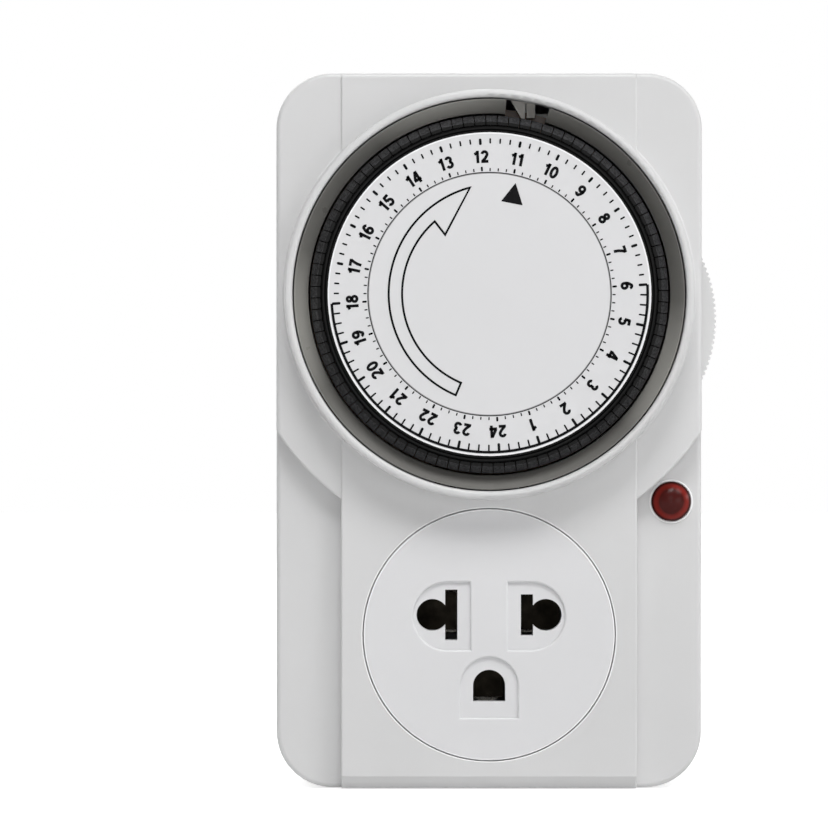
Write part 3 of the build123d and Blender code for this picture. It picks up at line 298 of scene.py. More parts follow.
def slab_of(left, right, low, high, closed=False):
    """A closed thin slab between two edges: four rails of points at two depths, joined by quads."""
    rails = []
    for edge, depth in ((left, high), (right, high), (right, low), (left, low)):
        rails.append(np.column_stack([edge[:, 0], np.full(len(edge), -depth), edge[:, 1]]))
    points = np.stack(rails, 1).reshape(-1, 3)
    count = len(left)
    steps = np.arange(count if closed else count - 1)[:, None]
    sides = np.arange(4)[None, :]
    here, there = steps * 4, (steps + 1) % count * 4
    across = (sides + 1) % 4
    quads = np.stack([here + sides, here + across, there + across, there + sides], -1)
    quads = quads.reshape(-1, 4)
    if not closed:
        last = (count - 1) * 4
        quads = np.concatenate([quads, [[3, 2, 1, 0], [last, last + 1, last + 2, last + 3]]])
    return points, quads


def arc(x, z, radius_x, radius_z, start, end, steps=16):
    """Points of an elliptic arc between two angles in degrees, counter-clockwise from +X."""
    angle = np.radians(np.linspace(start, end, steps))
    return np.column_stack([x + radius_x * np.cos(angle), z + radius_z * np.sin(angle)])


def run(*points):
    """A path straight from each point to the next."""
    return np.asarray(points, float)


# ---- digits ----------------------------------------------------------------------------------
# every digit is drawn in a cell one high, so all these are shares of the digit height
DIGIT_WIDTH = 0.62
ONE_WIDTH = 0.44
DIGIT_GAP = 0.12
LOOP_POINTS = 24


def loop_of(x, z, radius_x, radius_z):
    """A closed ellipse: its last point stands one step short of its first."""
    return arc(x, z, radius_x, radius_z, 0, 360 - 360 / LOOP_POINTS, LOOP_POINTS), True


def digit_six():
    """A closed bowl, with the back and the crook as one stroke."""
    crook = arc(0.345, 0.60, 0.205, 0.295, 28, 110)
    back = arc(0.36, 0.43, 0.265, 0.40, 128, 184)
    return [loop_of(0.31, 0.315, 0.205, 0.210), (np.concatenate([crook, back]), False)]


def turned_about(strokes):
    """The same strokes turned half round in the digit's cell."""
    return [(np.array([DIGIT_WIDTH, 1.0]) - path, closed) for path, closed in strokes]


def digit_strokes():
    """The middle lines of the ten digits, one high, as (path, closed) strokes."""
    bow = np.concatenate([
        arc(0.31, 0.69, 0.205, 0.205, 172, -28), run((0.36, 0.38), (0.14, 0.15)),
    ])
    open_strokes = {
        "1": [run((0.31, 0.0), (0.31, 1.0)), run((0.33, 0.93), (0.22, 0.80), (0.05, 0.72))],
        "2": [bow, run((0.02, 0.105), (0.59, 0.105))],
        "3": [arc(0.30, 0.715, 0.185, 0.180, 165, -88), arc(0.30, 0.31, 0.21, 0.205, 88, -165)],
        "4": [run((0.445, 0.0), (0.445, 1.0)), run((0.405, 0.93), (0.08, 0.30)),
              run((0.0, 0.285), (0.62, 0.285))],
        "5": [run((0.12, 0.895), (0.56, 0.895)), run((0.175, 0.96), (0.125, 0.50)),
              arc(0.30, 0.33, 0.215, 0.225, 138, -162)],
        "7": [run((0.03, 0.895), (0.59, 0.895)),
              run((0.53, 0.88), (0.40, 0.66), (0.29, 0.36), (0.24, 0.0))],
    }
    strokes = {digit: [(path, False) for path in paths] for digit, paths in open_strokes.items()}
    strokes["0"] = [loop_of(0.31, 0.5, 0.215, 0.395)]
    strokes["6"] = digit_six()
    strokes["8"] = [loop_of(0.31, 0.73, 0.170, 0.165), loop_of(0.31, 0.30, 0.210, 0.195)]
    strokes["9"] = turned_about(strokes["6"])
    return strokes


def number_strokes(text, strokes):
    """The strokes of a whole number, centred on its own middle."""
    widths = [ONE_WIDTH if digit == "1" else DIGIT_WIDTH for digit in text]
    total = sum(widths) + DIGIT_GAP * (len(text) - 1)
    placed, left = [], -total / 2
    for digit, width in zip(text, widths):
        for path, closed in strokes[digit]:
            placed.append((path + np.array([left, -0.5]), closed))
        left += width + DIGIT_GAP
    return placed


# ---- dial print ------------------------------------------------------------------------------
OUTER_MARKS = (24.9 * MM, 26.0 * MM)    # an hour's mark on the outer scale
QUARTER_START = 25.1 * MM
INNER_MARKS = (20.5 * MM, 21.3 * MM)    # an hour's mark on the inner scale
INNER_QUARTER_END = 21.05 * MM
NIGHT_ARC = (26.15 * MM, 26.6 * MM)     # its inner and outer radius
INNER_LINE = 0.75                       # width of the inner marks, as a share of the outer ones
ROUND_END = (18, 42, 66, 90)            # angles in degrees at which a mark's round end has points
# the arrow and the reading mark, as (x, z) and radii in mm from the dial's axis, with the arrow's
# tail, tip and notch at angles in degrees
ARROW_CENTRE = (1.54, 0.05)
ARROW_OUTER, ARROW_INNER = 18.37, 16.13
ARROW_TAIL, ARROW_TIP, ARROW_NOTCH = 247.0, 105.1, 131.5
ARROW_BARB = (-7.41, 9.89)
MARK_TIP, MARK_RIGHT, MARK_LEFT = (4.33, 18.5), (5.53, 14.80), (1.92, 15.5)


def on_dial(points, radius, clockwise):
    """Carry points drawn upright about (0, 0) to a radius and an angle on the dial."""
    turn = radians(clockwise)
    across = np.array([cos(turn), -sin(turn)])
    out = np.array([sin(turn), cos(turn)])
    local = np.asarray(points, float)
    return (
        np.array([DIAL.x, DIAL.z]) + local[:, :1] * across + (local[:, 1:] + radius) * out
    )


def tick_slab(clockwise, inner, outer, width, low, high):
    """A radial mark with round ends: at an angle a round each end, the half width is the
    end's radius times sin a, at the radius times (1 - cos a) from the mark's end."""
    turn = np.radians(ROUND_END)
    reach, half = width / 2 * (1 - np.cos(turn)), width / 2 * np.sin(turn)
    along = np.concatenate([inner + reach, outer - reach[::-1]])
    half = np.concatenate([half, half[::-1]])
    left, right = np.column_stack([-half, along]), np.column_stack([half, along])
    return slab_of(on_dial(left, 0, clockwise), on_dial(right, 0, clockwise), low, high)


def ring_slab(inner, outer, start, end, low, high, steps=180):
    """Part of a flat ring between two radii, from one clockwise angle to another."""
    angle = np.radians(np.linspace(start, end, steps))
    centre = np.array([DIAL.x, DIAL.z])
    unit = np.column_stack([np.sin(angle), np.cos(angle)])
    return slab_of(centre + outer * unit, centre + inner * unit, low, high)


def hour_angle(hour):
    """Where an hour's mark stands: the hours run counter-clockwise, with noon near the top."""
    return REST_ANGLE + (HOURS // 2 - hour) * 360 / HOURS


class TIMER_OT_ring_print(Operator):
    """Print the hours 1 to 24, the quarter ticks and the night arc on the turning ring"""

    bl_idname = "timer.ring_print"
    bl_label = "Ring print"

    def execute(self, context):
        settings = context.scene.timer_print
        depths = RING_FACE - settings.ink, RING_FACE + settings.ink
        parts = self.numbers(settings, depths) + self.scale(settings, depths)
        night = hour_angle(NIGHT_TO), hour_angle(NIGHT_FROM - HOURS)
        parts.append(ring_slab(*NIGHT_ARC, *night, *depths))
        points, faces = joined(parts)
        add_piece("ring_print", points, faces, "dial", ink())
        return {"FINISHED"}

    @staticmethod
    def numbers(settings, depths):
        """Each hour's number, with its top outwards."""
        height, strokes, parts = settings.digit_height, digit_strokes(), []
        for hour in range(1, HOURS + 1):
            for path, closed in number_strokes(str(hour), strokes):
                edges = ribbon(path * height, settings.stroke * height, closed)
                left, right = (on_dial(e, settings.digit_radius, hour_angle(hour)) for e in edges)
                parts.append(slab_of(left, right, *depths, closed))
        return parts

    @staticmethod
    def scale(settings, depths):
        """A mark for each quarter on both sides of the numbers, bolder at the hours."""
        count, parts = HOURS * QUARTERS, []
        for quarter in range(count):
            angle = REST_ANGLE + quarter * 360 / count
            whole = quarter % QUARTERS == 0
            at_night = abs(quarter - count // 2) <= count / 4
            width = settings.hour_tick if whole else settings.quarter_tick
            start = OUTER_MARKS[0] if whole else QUARTER_START
            end = (NIGHT_ARC[0] + NIGHT_ARC[1]) / 2 if at_night else OUTER_MARKS[1]
            parts.append(tick_slab(angle, start, end, width, *depths))
            end = INNER_MARKS[1] if whole else INNER_QUARTER_END
            parts.append(tick_slab(angle, INNER_MARKS[0], end, width * INNER_LINE, *depths))
        return parts


class TIMER_OT_disc_print(Operator):
    """Print the reading mark and the turning arrow on the fixed centre disc"""

    bl_idname = "timer.disc_print"
    bl_label = "Disc print"

    def execute(self, context):
        settings = context.scene.timer_print
        depths = DISC_FACE - settings.ink, DISC_FACE + settings.ink
        centre = np.array([DIAL.x, DIAL.z])
        left = centre + run(MARK_TIP, MARK_LEFT) * MM
        right = centre + run(MARK_TIP, MARK_RIGHT) * MM
        # the tip is blunt by the ink's thickness on both sides, which keeps the slab closed
        left[0, 0] -= settings.ink
        right[0, 0] += settings.ink
        parts = [slab_of(right, left, *depths)]
        line = ribbon(self.arrow() * MM + centre, settings.arrow_line, closed=True)
        parts.append(slab_of(*line, *depths, closed=True))
        points, faces = joined(parts)
        add_piece("disc_print", points, faces, "housing", ink())
        return {"FINISHED"}

    @staticmethod
    def arrow():
        """A broad curved arrow: two arcs about one centre, a barbed head and a flat tail."""
        outside = arc(*ARROW_CENTRE, ARROW_OUTER, ARROW_OUTER, ARROW_TAIL, ARROW_TIP, steps=90)
        inside = arc(*ARROW_CENTRE, ARROW_INNER, ARROW_INNER, ARROW_NOTCH, ARROW_TAIL, steps=60)
        return np.concatenate([outside, run(ARROW_BARB), inside])


# ---- cover screws ----------------------------------------------------------------------------
RECESS_DEPTH = 1.15 * MM
RECESS_HALF_WIDTH = 0.42 * MM
RECESS_REACH = 1.75 * MM
WALL_FADE = 0.12 * MM          # the recess reaches its depth this far in from an arm's side
END_FADE = 0.7 * MM            # and this far in from an arm's end
THREAD_HEIGHT = 0.28 * MM
UNDERCUT = 0.01 * MM           # from the head's underside to the first ring of the thread
HEAD_ROUND = 0.35 * MM
SCREW_SIDES = 64
RINGS_PER_TURN = 6
FACE_RINGS = 26
RIM_RINGS = 5
POLE = 0.02 * MM               # radius of the small ring that closes each end
FIRST_TURN, TURN_STEP = 25, 67     # degrees, so that no two crosses stand alike


class TIMER_OT_cover_screws(Operator):
    """Make the four cross-head cover screws with their threads, in place of the plain ones"""

    bl_idname = "timer.cover_screws"
    bl_label = "Cover screws"

    def execute(self, context):
        settings = context.scene.timer_screws
        points, faces = self.screw(settings)
        inset = settings.head_radius
        places = [(x, z) for x in (SCREWS_LOW.x + inset, SCREWS_HIGH.x - inset)
                  for z in (SCREWS_LOW.z + inset, SCREWS_HIGH.z - inset)]
        parts = []
        for number, (x, z) in enumerate(places):
            turn = radians(FIRST_TURN + TURN_STEP * number)
            across = points[:, 0] * cos(turn) - points[:, 2] * sin(turn)
            up = points[:, 0] * sin(turn) + points[:, 2] * cos(turn)
            parts.append((np.column_stack([x + across, points[:, 1], z + up]), faces))
        points, faces = joined(parts)
        material = bpy.data.materials["steel"]
        piece = add_piece("cover_screws_cross", points, faces, "housing", material,
                          smooth=True)
        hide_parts("cover_screws")
        return {"FINISHED"}

    def screw(self, settings):
        """One surface of revolution with two changes, on a grid of rings and sides.

        The face is pushed in by the recess depth wherever a point lies within the half width of
        either arm of a cross, fading out at the arm's end and wall. The shank's radius falls from
        its crest by the thread height times the distance, in part turns, to the nearest crest.
        """
        radius, depth, count = self.profile(settings)
        side = np.arange(SCREW_SIDES) * 2 * pi / SCREW_SIDES
        radius, depth = (np.repeat(row[:, None], SCREW_SIDES, 1) for row in (radius, depth))
        x, z = radius * np.cos(side), radius * np.sin(side)
        across, along = np.minimum(abs(x), abs(z)), np.maximum(abs(x), abs(z))
        wall = np.clip((RECESS_HALF_WIDTH - across) / WALL_FADE, 0, 1)
        end = np.clip((RECESS_REACH - along) / END_FADE, 0, 1)
        ring = np.arange(len(radius))[:, None]
        face = ring < FACE_RINGS
        depth = depth + face * RECESS_DEPTH * wall * end
        from_crest = abs((depth / settings.pitch - side / (2 * pi)) % 1 - 0.5) * 2
        first = FACE_RINGS + RIM_RINGS + 2
        threaded = (ring >= first) & (ring < first + count)
        radius = radius - threaded * THREAD_HEIGHT * from_crest
        points = np.stack([radius * np.cos(side), -depth, radius * np.sin(side)], -1)
        return points.reshape(-1, 3), self.skin(len(radius))

    @staticmethod
    def profile(settings):
        """The radius and depth of each ring, and how many rings the thread has.

        The rings follow the face, the rounded rim, the side, the underside, the shank and the
        point. At an angle a round the rim, the radius has lost the rim's own times (1 - sin a),
        and the depth has gained it times (1 - cos a).
        """
        rear, front = -SCREWS_HIGH.y, -SCREWS_LOW.y
        head, shank = settings.head_radius, settings.shank_radius
        seat = rear + settings.head_height
        bend = np.radians(np.linspace(0, 90, RIM_RINGS))
        turns = (front - seat - shank) / settings.pitch
        count = int(turns * RINGS_PER_TURN)
        radius = np.concatenate([
            np.linspace(POLE, head - HEAD_ROUND, FACE_RINGS),
            head - HEAD_ROUND * (1 - np.sin(bend)),
            [head, shank], np.full(count, shank), [POLE],
        ])
        depth = np.concatenate([
            np.full(FACE_RINGS, rear),
            rear + HEAD_ROUND * (1 - np.cos(bend)),
            [seat, seat], np.linspace(seat + UNDERCUT, front - shank, count), [front],
        ])
        return radius, depth, count

    @staticmethod
    def skin(count):
        """Quads between each ring and the next, with strips across the small ring at each end."""
        rings = np.arange(count - 1)[:, None] * SCREW_SIDES
        here = np.arange(SCREW_SIDES)[None, :]
        there = (here + 1) % SCREW_SIDES
        quads = np.stack([rings + here, rings + there, rings + SCREW_SIDES + there,
                          rings + SCREW_SIDES + here], -1).reshape(-1, 4)
        near, last = np.arange(SCREW_SIDES // 2 - 1), SCREW_SIDES - 1
        cap = np.stack([last - near, last - 1 - near, near + 1, near], -1)
        tip = cap[:, ::-1] + (count - 1) * SCREW_SIDES
        return np.concatenate([cap, quads, tip])


# ---- materials -------------------------------------------------------------------------------
MILKY_DEPTH = 0.5 * MM                  # how far light wanders in the white plastics
SINK_DEPTH = 0.05 * MM                  # how far a moulded face sinks between its ribs
SCUFF_SCALE = (900.0, 60.0, 45.0)       # scuffs to the metre on each axis
SCUFF_TURN = (0.0, 0.9, 0.0)            # turns their noise after it is drawn out
FRONT_FROM = 32.0 * MM                  # the painted highlight rings lie further forward than this
BEAD_HIGHLIGHT = (1.0, 1.11, 0.02)           # painted highlight ring round the lens: inner and outer edge in lens radii, and their softness
SEAM_HIGHLIGHT = (0.993, 1.016, 0.004)       # painted highlight along the socket's seam, lightening the shade in its gap; the same in socket radii
HIGHLIGHT_GAIN = 1.4                            # how many times paler a painted highlight ring is
SHEEN_AT = (113.0, 262.0, 345.0)         # clockwise angles of the well's painted sheen stretches
SHEEN_FROM = 0.93                        # cosine of half the angle such a stretch covers
SHEEN = 1.9                              # how many times paler a painted sheen's middle is
WELL_FLOOR = 30.0 * MM                  # what of the well lies deeper shows in its window
WINDOW_FADE = 0.3 * MM
WINDOW_BROWN = (0.18, 0.085, 0.035)
SLOPE_FACING = (-0.75, -0.25, 0.05)     # range of y in a tappet slope's normal, and softness
# the paler colour of the tappets' outer slope: a painted highlight
SLOPE_SHEEN = (0.06, 0.06, 0.063)
RING_EDGE_HIGHLIGHT = (0.988, 0.994)              # where the ring's painted edge highlight starts, in ring radii
DISC_SEAM_SHADE = (0.991, 0.995)              # where the disc's painted seam shade starts, in disc radii


def blank(name):
    """A material with only its Principled shader and output, and Object coordinates to draw on."""
    material = bpy.data.materials.new(name)
    material.use_nodes = True
    tree = material.node_tree
    shader = tree.nodes["Principled BSDF"]
    place = tree.nodes.new("ShaderNodeTexCoord").outputs["Object"]
    return material, tree, shader, place


def noise(tree, place, scale, detail=3.0, roughness=0.5):
    """A cloudy value about 0.5, with scale clouds to the metre."""
    node = tree.nodes.new("ShaderNodeTexNoise")
    node.inputs["Scale"].default_value = scale
    node.inputs["Detail"].default_value = detail
    node.inputs["Roughness"].default_value = roughness
    tree.links.new(place, node.inputs["Vector"])
    return node.outputs["Fac"]


def spread(tree, value, low, high, start=0.3, end=0.7):
    """Stretch one range of a value over another."""
    node = tree.nodes.new("ShaderNodeMapRange")
    node.inputs["From Min"].default_value = start
    node.inputs["From Max"].default_value = end
    node.inputs["To Min"].default_value = low
    node.inputs["To Max"].default_value = high
    tree.links.new(value, node.inputs["Value"])
    return node.outputs["Result"]


def calculated(tree, operation, first, second):
    """One calculation on two sockets, or on a socket and a number."""
    node = tree.nodes.new("ShaderNodeMath")
    node.operation = operation
    tree.links.new(first, node.inputs[0])
    if isinstance(second, (int, float)):
        node.inputs[1].default_value = second
    else:
        tree.links.new(second, node.inputs[1])
    return node.outputs[0]


def tinted(tree, factor, first, second):
    """One colour shading into another."""
    node = tree.nodes.new("ShaderNodeMix")
    node.data_type = "RGBA"
    node.inputs["A"].default_value = (*first, 1)
    node.inputs["B"].default_value = (*second, 1)
    tree.links.new(factor, node.inputs["Factor"])
    return node.outputs["Result"]


def stretched(tree, place, scale, turn=(0.0, 0.0, 0.0)):
    """The same coordinates drawn out, for scratches and brushed lines, and then turned."""
    node = tree.nodes.new("ShaderNodeMapping")
    node.inputs["Scale"].default_value = scale
    node.inputs["Rotation"].default_value = turn
    tree.links.new(place, node.inputs["Vector"])
    return node.outputs["Vector"]


def bumped(tree, shader, *layers):
    """Relief from (height, distance) layers, coarse first, each bending the last one's normal."""
    normal = None
    for height, distance in layers:
        node = tree.nodes.new("ShaderNodeBump")
        node.inputs["Distance"].default_value = distance
        tree.links.new(height, node.inputs["Height"])
        if normal:
            tree.links.new(normal, node.inputs["Normal"])
        normal = node.outputs["Normal"]
    tree.links.new(normal, shader.inputs["Normal"])


def from_axis(tree, place, x, z, radius):
    """How far a point lies from a front-to-back axis, as a share of a radius."""
    shift = tree.nodes.new("ShaderNodeMapping")
    shift.inputs["Location"].default_value = (-x / radius, 0.0, -z / radius)
    shift.inputs["Scale"].default_value = (1 / radius, 0.0, 1 / radius)
    tree.links.new(place, shift.inputs["Vector"])
    length = tree.nodes.new("ShaderNodeVectorMath")
    length.operation = "LENGTH"
    tree.links.new(shift.outputs["Vector"], length.inputs[0])
    return length.outputs["Value"]


def ramped(tree, value, stops):
    """A colour for each position of a value, blended between the stops."""
    ramp = tree.nodes.new("ShaderNodeValToRGB")
    tree.links.new(value, ramp.inputs["Fac"])
    elements = ramp.color_ramp.elements
    while len(elements) < len(stops):
        elements.new(0.5)
    for element, (position, colour) in zip(elements, stops):
        element.position = position
        element.color = (*colour, 1)
    return ramp.outputs["Color"]


def shaded(colour, share):
    """A colour made darker or paler, with no channel past 1."""
    return tuple(min(1.0, c * share) for c in colour)


def moulded(name, colour, roughness=0.45, grain=6500.0, relief=0.004 * MM, mottle=0.03, gloss=0.5,
            milky=0.0):
    """Moulded plastic: slow changes of shade, uneven gloss, hairline scuffs, the mould's grain."""
    material, tree, shader, place = blank(name)
    cloudy = spread(tree, noise(tree, place, 45.0, 4.0), 0.0, 1.0)
    shade = tinted(tree, cloudy, shaded(colour, 1 - mottle), shaded(colour, 1 + mottle))
    tree.links.new(shade, shader.inputs["Base Color"])
    lines = noise(tree, stretched(tree, place, SCUFF_SCALE, SCUFF_TURN), 1.0, 4.0)
    scuffs = spread(tree, lines, 0.0, 0.10, 0.66, 0.72)
    patchy = spread(tree, noise(tree, place, 160.0, 5.0, 0.6), roughness - 0.05, roughness + 0.05)
    tree.links.new(calculated(tree, "ADD", patchy, scuffs), shader.inputs["Roughness"])
    sink = noise(tree, place, 70.0, 2.0)
    bumped(tree, shader, (sink, SINK_DEPTH), (noise(tree, place, grain, 2.0), relief))
    shader.inputs["Specular IOR Level"].default_value = gloss
    shader.inputs["Subsurface Weight"].default_value = milky
    shader.inputs["Subsurface Radius"].default_value = (1.0, 1.0, 1.0)
    shader.inputs["Subsurface Scale"].default_value = MILKY_DEPTH
    return material


def recoloured(material, mask, colour):
    """Lay another base colour over a material's own wherever a mask is 1."""
    tree = material.node_tree
    base = tree.nodes["Principled BSDF"].inputs["Base Color"]
    mix = tree.nodes.new("ShaderNodeMix")
    mix.data_type = "RGBA"
    mix.inputs["B"].default_value = (*colour, 1)
    tree.links.new(mask, mix.inputs["Factor"])
    tree.links.new(base.links[0].from_socket, mix.inputs["A"])
    tree.links.new(mix.outputs["Result"], base)


def place_of(material):
    """A material's node tree and the Object coordinates in it."""
    return material.node_tree, material.node_tree.nodes["Texture Coordinate"].outputs["Object"]


def band(tree, value, low, high, soft):
    """1 while a value lies between two limits, fading out over a soft edge."""
    rise = spread(tree, value, 0.0, 1.0, low - soft, low)
    fall = spread(tree, value, 1.0, 0.0, high, high + soft)
    return calculated(tree, "MULTIPLY", rise, fall)


def rubbed(material, colour, centre, radius, inner, outer, soft):
    """Paint a paler ring on the timer's front: a painted highlight."""
    tree, place = place_of(material)
    ring = band(tree, from_axis(tree, place, centre.x, centre.z, radius), inner, outer, soft)
    depth = tree.nodes.new("ShaderNodeSeparateXYZ")
    tree.links.new(place, depth.inputs["Vector"])
    ahead = spread(tree, depth.outputs["Y"], 1.0, 0.0, -FRONT_FROM, -FRONT_FROM + MM)
    recoloured(material, calculated(tree, "MULTIPLY", ring, ahead), shaded(colour, HIGHLIGHT_GAIN))


def cover_plastic(colour):
    """The covers' plastic, with a painted highlight on the bead round the lamp's lens and along the
    socket's seam.
    """
    material = moulded("cover_plastic", colour, 0.42, mottle=0.012, milky=0.12)
    rubbed(material, colour, LENS, LENS_RADIUS, *BEAD_HIGHLIGHT)
    rubbed(material, colour, SOCKET, SOCKET_RADIUS, *SEAM_HIGHLIGHT)
    return material


def socket_plastic(colour):
    """The socket face's plastic, with a painted highlight along its seam."""
    material = moulded("socket_plastic", colour, 0.42, 8000.0, 0.002 * MM, 0.01, milky=0.12)
    rubbed(material, colour, SOCKET, SOCKET_RADIUS, *SEAM_HIGHLIGHT)
    return material


def well_plastic(colour):
    """The cup's plastic in a dark grey that paints the shade in the deep cup, with a painted sheen
    in three stretches of its flare, brown in its window.
    """
    material = moulded("well_plastic", colour, 0.32, 3000.0, 0.003 * MM, 0.06)
    tree, place = place_of(material)
    out = tree.nodes.new("ShaderNodeMapping")
    out.inputs["Location"].default_value = (-DIAL.x, 0.0, -DIAL.z)
    out.inputs["Scale"].default_value = (1.0, 0.0, 1.0)
    tree.links.new(place, out.inputs["Vector"])
    unit = tree.nodes.new("ShaderNodeVectorMath")
    unit.operation = "NORMALIZE"
    tree.links.new(out.outputs["Vector"], unit.inputs[0])
    # painted sheen: a paler stretch about each of these angles
    for clockwise in SHEEN_AT:
        facing = tree.nodes.new("ShaderNodeVectorMath")
        facing.operation = "DOT_PRODUCT"
        facing.inputs[1].default_value = (sin(radians(clockwise)), 0.0, cos(radians(clockwise)))
        tree.links.new(unit.outputs["Vector"], facing.inputs[0])
        painted_light = spread(tree, facing.outputs["Value"], 0.0, 1.0, SHEEN_FROM, 1.0)
        recoloured(material, painted_light, shaded(colour, SHEEN))
    depth = tree.nodes.new("ShaderNodeSeparateXYZ")
    tree.links.new(place, depth.inputs["Vector"])
    behind = spread(tree, depth.outputs["Y"], 0.0, 1.0, -WELL_FLOOR - WINDOW_FADE, -WELL_FLOOR)
    recoloured(material, behind, WINDOW_BROWN)
    return material


def tappet_black(colour):
    """The segments' black, paler on the slope at their outer edge: a painted highlight."""
    material = moulded("tappet_black", colour, 0.25, 4000.0, 0.006 * MM, 0.3, 0.1)
    tree, place = place_of(material)
    facing = tree.nodes.new("ShaderNodeSeparateXYZ")
    tree.links.new(tree.nodes["Texture Coordinate"].outputs["Normal"], facing.inputs["Vector"])
    # painted highlight on the outward slopes, broken into streaks
    slope = band(tree, facing.outputs["Y"], *SLOPE_FACING)
    streaks = spread(tree, noise(tree, place, 2600.0, 4.0, 0.7), 0.3, 1.0, 0.4, 0.6)
    recoloured(material, calculated(tree, "MULTIPLY", slope, streaks), SLOPE_SHEEN)
    return material


def ring_white(colour):
    """The number ring: moulded white, with a painted highlight along its outer edge."""
    material = moulded("ring_white", colour, 0.48, 7000.0, 0.003 * MM, 0.012, milky=0.10)
    tree, place = place_of(material)
    share = from_axis(tree, place, DIAL.x, DIAL.z, RING_RADIUS)
    recoloured(material, spread(tree, share, 0.0, 1.0, *RING_EDGE_HIGHLIGHT), shaded(colour, 1.3))
    return material


def disc_white(colour):
    """The centre disc: moulded white with a painted shade along its seam."""
    material = moulded("disc_white", colour, 0.46, 9000.0, 0.002 * MM, 0.008, milky=0.10)
    tree, place = place_of(material)
    share = from_axis(tree, place, DIAL.x, DIAL.z, DISC_RADIUS)
    recoloured(material, spread(tree, share, 0.0, 0.85, *DISC_SEAM_SHADE), shaded(colour, 0.2))
    return material


def plated(name, colour, dull, roughness=0.3):
    """Plated or bare metal: brushed lines, dull patches and a fine relief."""
    material, tree, shader, place = blank(name)
    lines = noise(tree, stretched(tree, place, (1.0, 1.0, 0.06)), 5000.0)
    patches = noise(tree, place, 260.0, 5.0, 0.65)
    tree.links.new(tinted(tree, spread(tree, patches, 0.0, 1.0), colour, dull),
                   shader.inputs["Base Color"])
    tree.links.new(spread(tree, patches, roughness - 0.08, roughness + 0.12),
                   shader.inputs["Roughness"])
    bumped(tree, shader, (lines, 0.003 * MM))
    shader.inputs["Metallic"].default_value = 1.0
    return material


def ink():
    """Screen-printed ink: near black, thinner in places, with a low sheen."""
    if "ink" in bpy.data.materials:
        return bpy.data.materials["ink"]
    colour = tuple(bpy.context.scene.timer_finish.ink_colour)
    material, tree, shader, place = blank("ink")
    thin = spread(tree, noise(tree, place, 900.0, 5.0), 0.0, 1.0)
    tree.links.new(tinted(tree, thin, colour, shaded(colour, 2.2)), shader.inputs["Base Color"])
    tree.links.new(spread(tree, noise(tree, place, 500.0), 0.4, 0.55), shader.inputs["Roughness"])
    bumped(tree, shader, (noise(tree, place, 9000.0), 0.002 * MM))
    shader.inputs["Specular IOR Level"].default_value = 0.06
    return material


# painted light and shade of the lens: how much of its colour it shows, at shares of its radius
LENS_SHADE_RINGS = (
    (0.0, 0.24), (0.60, 0.26), (0.70, 0.72), (0.80, 1.0), (0.88, 0.85), (0.92, 0.24), (1.0, 0.20),
)


def lens_red(colour):
    """Tinted lens, its light and shade painted by radius: a painted bright red ring where its wall
    turns, a painted dark middle over the lamp, a painted shadow at its foot.
    """
    material, tree, shader, place = blank("lens_red")
    share = from_axis(tree, place, LENS.x, LENS.z, LENS_RADIUS)
    wavy = calculated(tree, "ADD", share, spread(tree, noise(tree, place, 500.0), -0.02, 0.02))
    stops = [(position, shaded(colour, level)) for position, level in LENS_SHADE_RINGS]
    tree.links.new(ramped(tree, wavy, stops), shader.inputs["Base Color"])
    tree.links.new(spread(tree, noise(tree, place, 700.0), 0.20, 0.26), shader.inputs["Roughness"])
    shader.inputs["Specular IOR Level"].default_value = 0.12
    bumped(tree, shader, (noise(tree, place, 1800.0), 0.003 * MM))
    return material


def clear_glass():
    """The lamp's bulb: clear glass with a faint warm tint and tiny ripples."""
    material, tree, shader, place = blank("lamp_glass")
    shader.inputs["Transmission Weight"].default_value = 0.9
    shader.inputs["IOR"].default_value = 1.5
    shade = tinted(tree, noise(tree, place, 300.0), (0.95, 0.90, 0.85), (0.85, 0.78, 0.72))
    tree.links.new(shade, shader.inputs["Base Color"])
    tree.links.new(spread(tree, noise(tree, place, 800.0), 0.02, 0.08), shader.inputs["Roughness"])
    bumped(tree, shader, (noise(tree, place, 1200.0), 0.004 * MM))
    return material


def slot_materials(finish):
    """One material for each material slot of the record."""
    cover, face = tuple(finish.cover_colour), tuple(finish.face_colour)
    well, black = tuple(finish.well_colour), tuple(finish.black_colour)
    lever, red = tuple(finish.lever_colour), tuple(finish.lens_colour)
    return {
        "cover_plastic": cover_plastic(cover),
        "socket_plastic": socket_plastic(face),
        "well_plastic": well_plastic(well),
        "dial_black": moulded("dial_black", black, 0.34, 5000.0, 0.003 * MM, 0.2, 0.1),
        "tappet_black": tappet_black(black),
        "ring_white": ring_white(face),
        "disc_white": disc_white(face),
        "lever_plastic": moulded("lever_plastic", lever, 0.50, 4200.0, 0.006 * MM, 0.02),
        "feeler_plastic": moulded("feeler_plastic", (0.88, 0.85, 0.79), 0.40, mottle=0.05),
        "gear_plastic": moulded("gear_plastic", (0.70, 0.68, 0.60), 0.38, mottle=0.03),
        "switch_black": moulded("switch_black", (0.02, 0.02, 0.02), 0.45, mottle=0.1),
        "block_plastic": moulded("block_plastic", (0.008, 0.006, 0.005), 0.6, mottle=0.1,
                                 gloss=0.2),
        "steel": plated("steel", (0.56, 0.56, 0.54), (0.42, 0.42, 0.40)),
        "brass": plated("brass", (0.60, 0.40, 0.15), (0.42, 0.26, 0.09)),
        "plated_brass": plated("plated_brass", (0.66, 0.64, 0.58), (0.52, 0.50, 0.44), 0.24),
        "lens_red": lens_red(red),
        "lamp_glass": clear_glass(),
        "resistor_body": moulded("resistor_body", (0.45, 0.32, 0.18), 0.3, mottle=0.06),
        "wire_insulation": moulded("wire_insulation", (0.10, 0.035, 0.015), 0.35, mottle=0.08),
    }


# these show in the openings of the socket, and their brass is painted near black: painted shade of
# the deep openings
SOCKET_CONTACTS = ("live_contact", "neutral_contact", "earth_contact")
SHADE_BRASS, DARK_SHADE_BRASS = (0.022, 0.019, 0.014), (0.008, 0.007, 0.006)


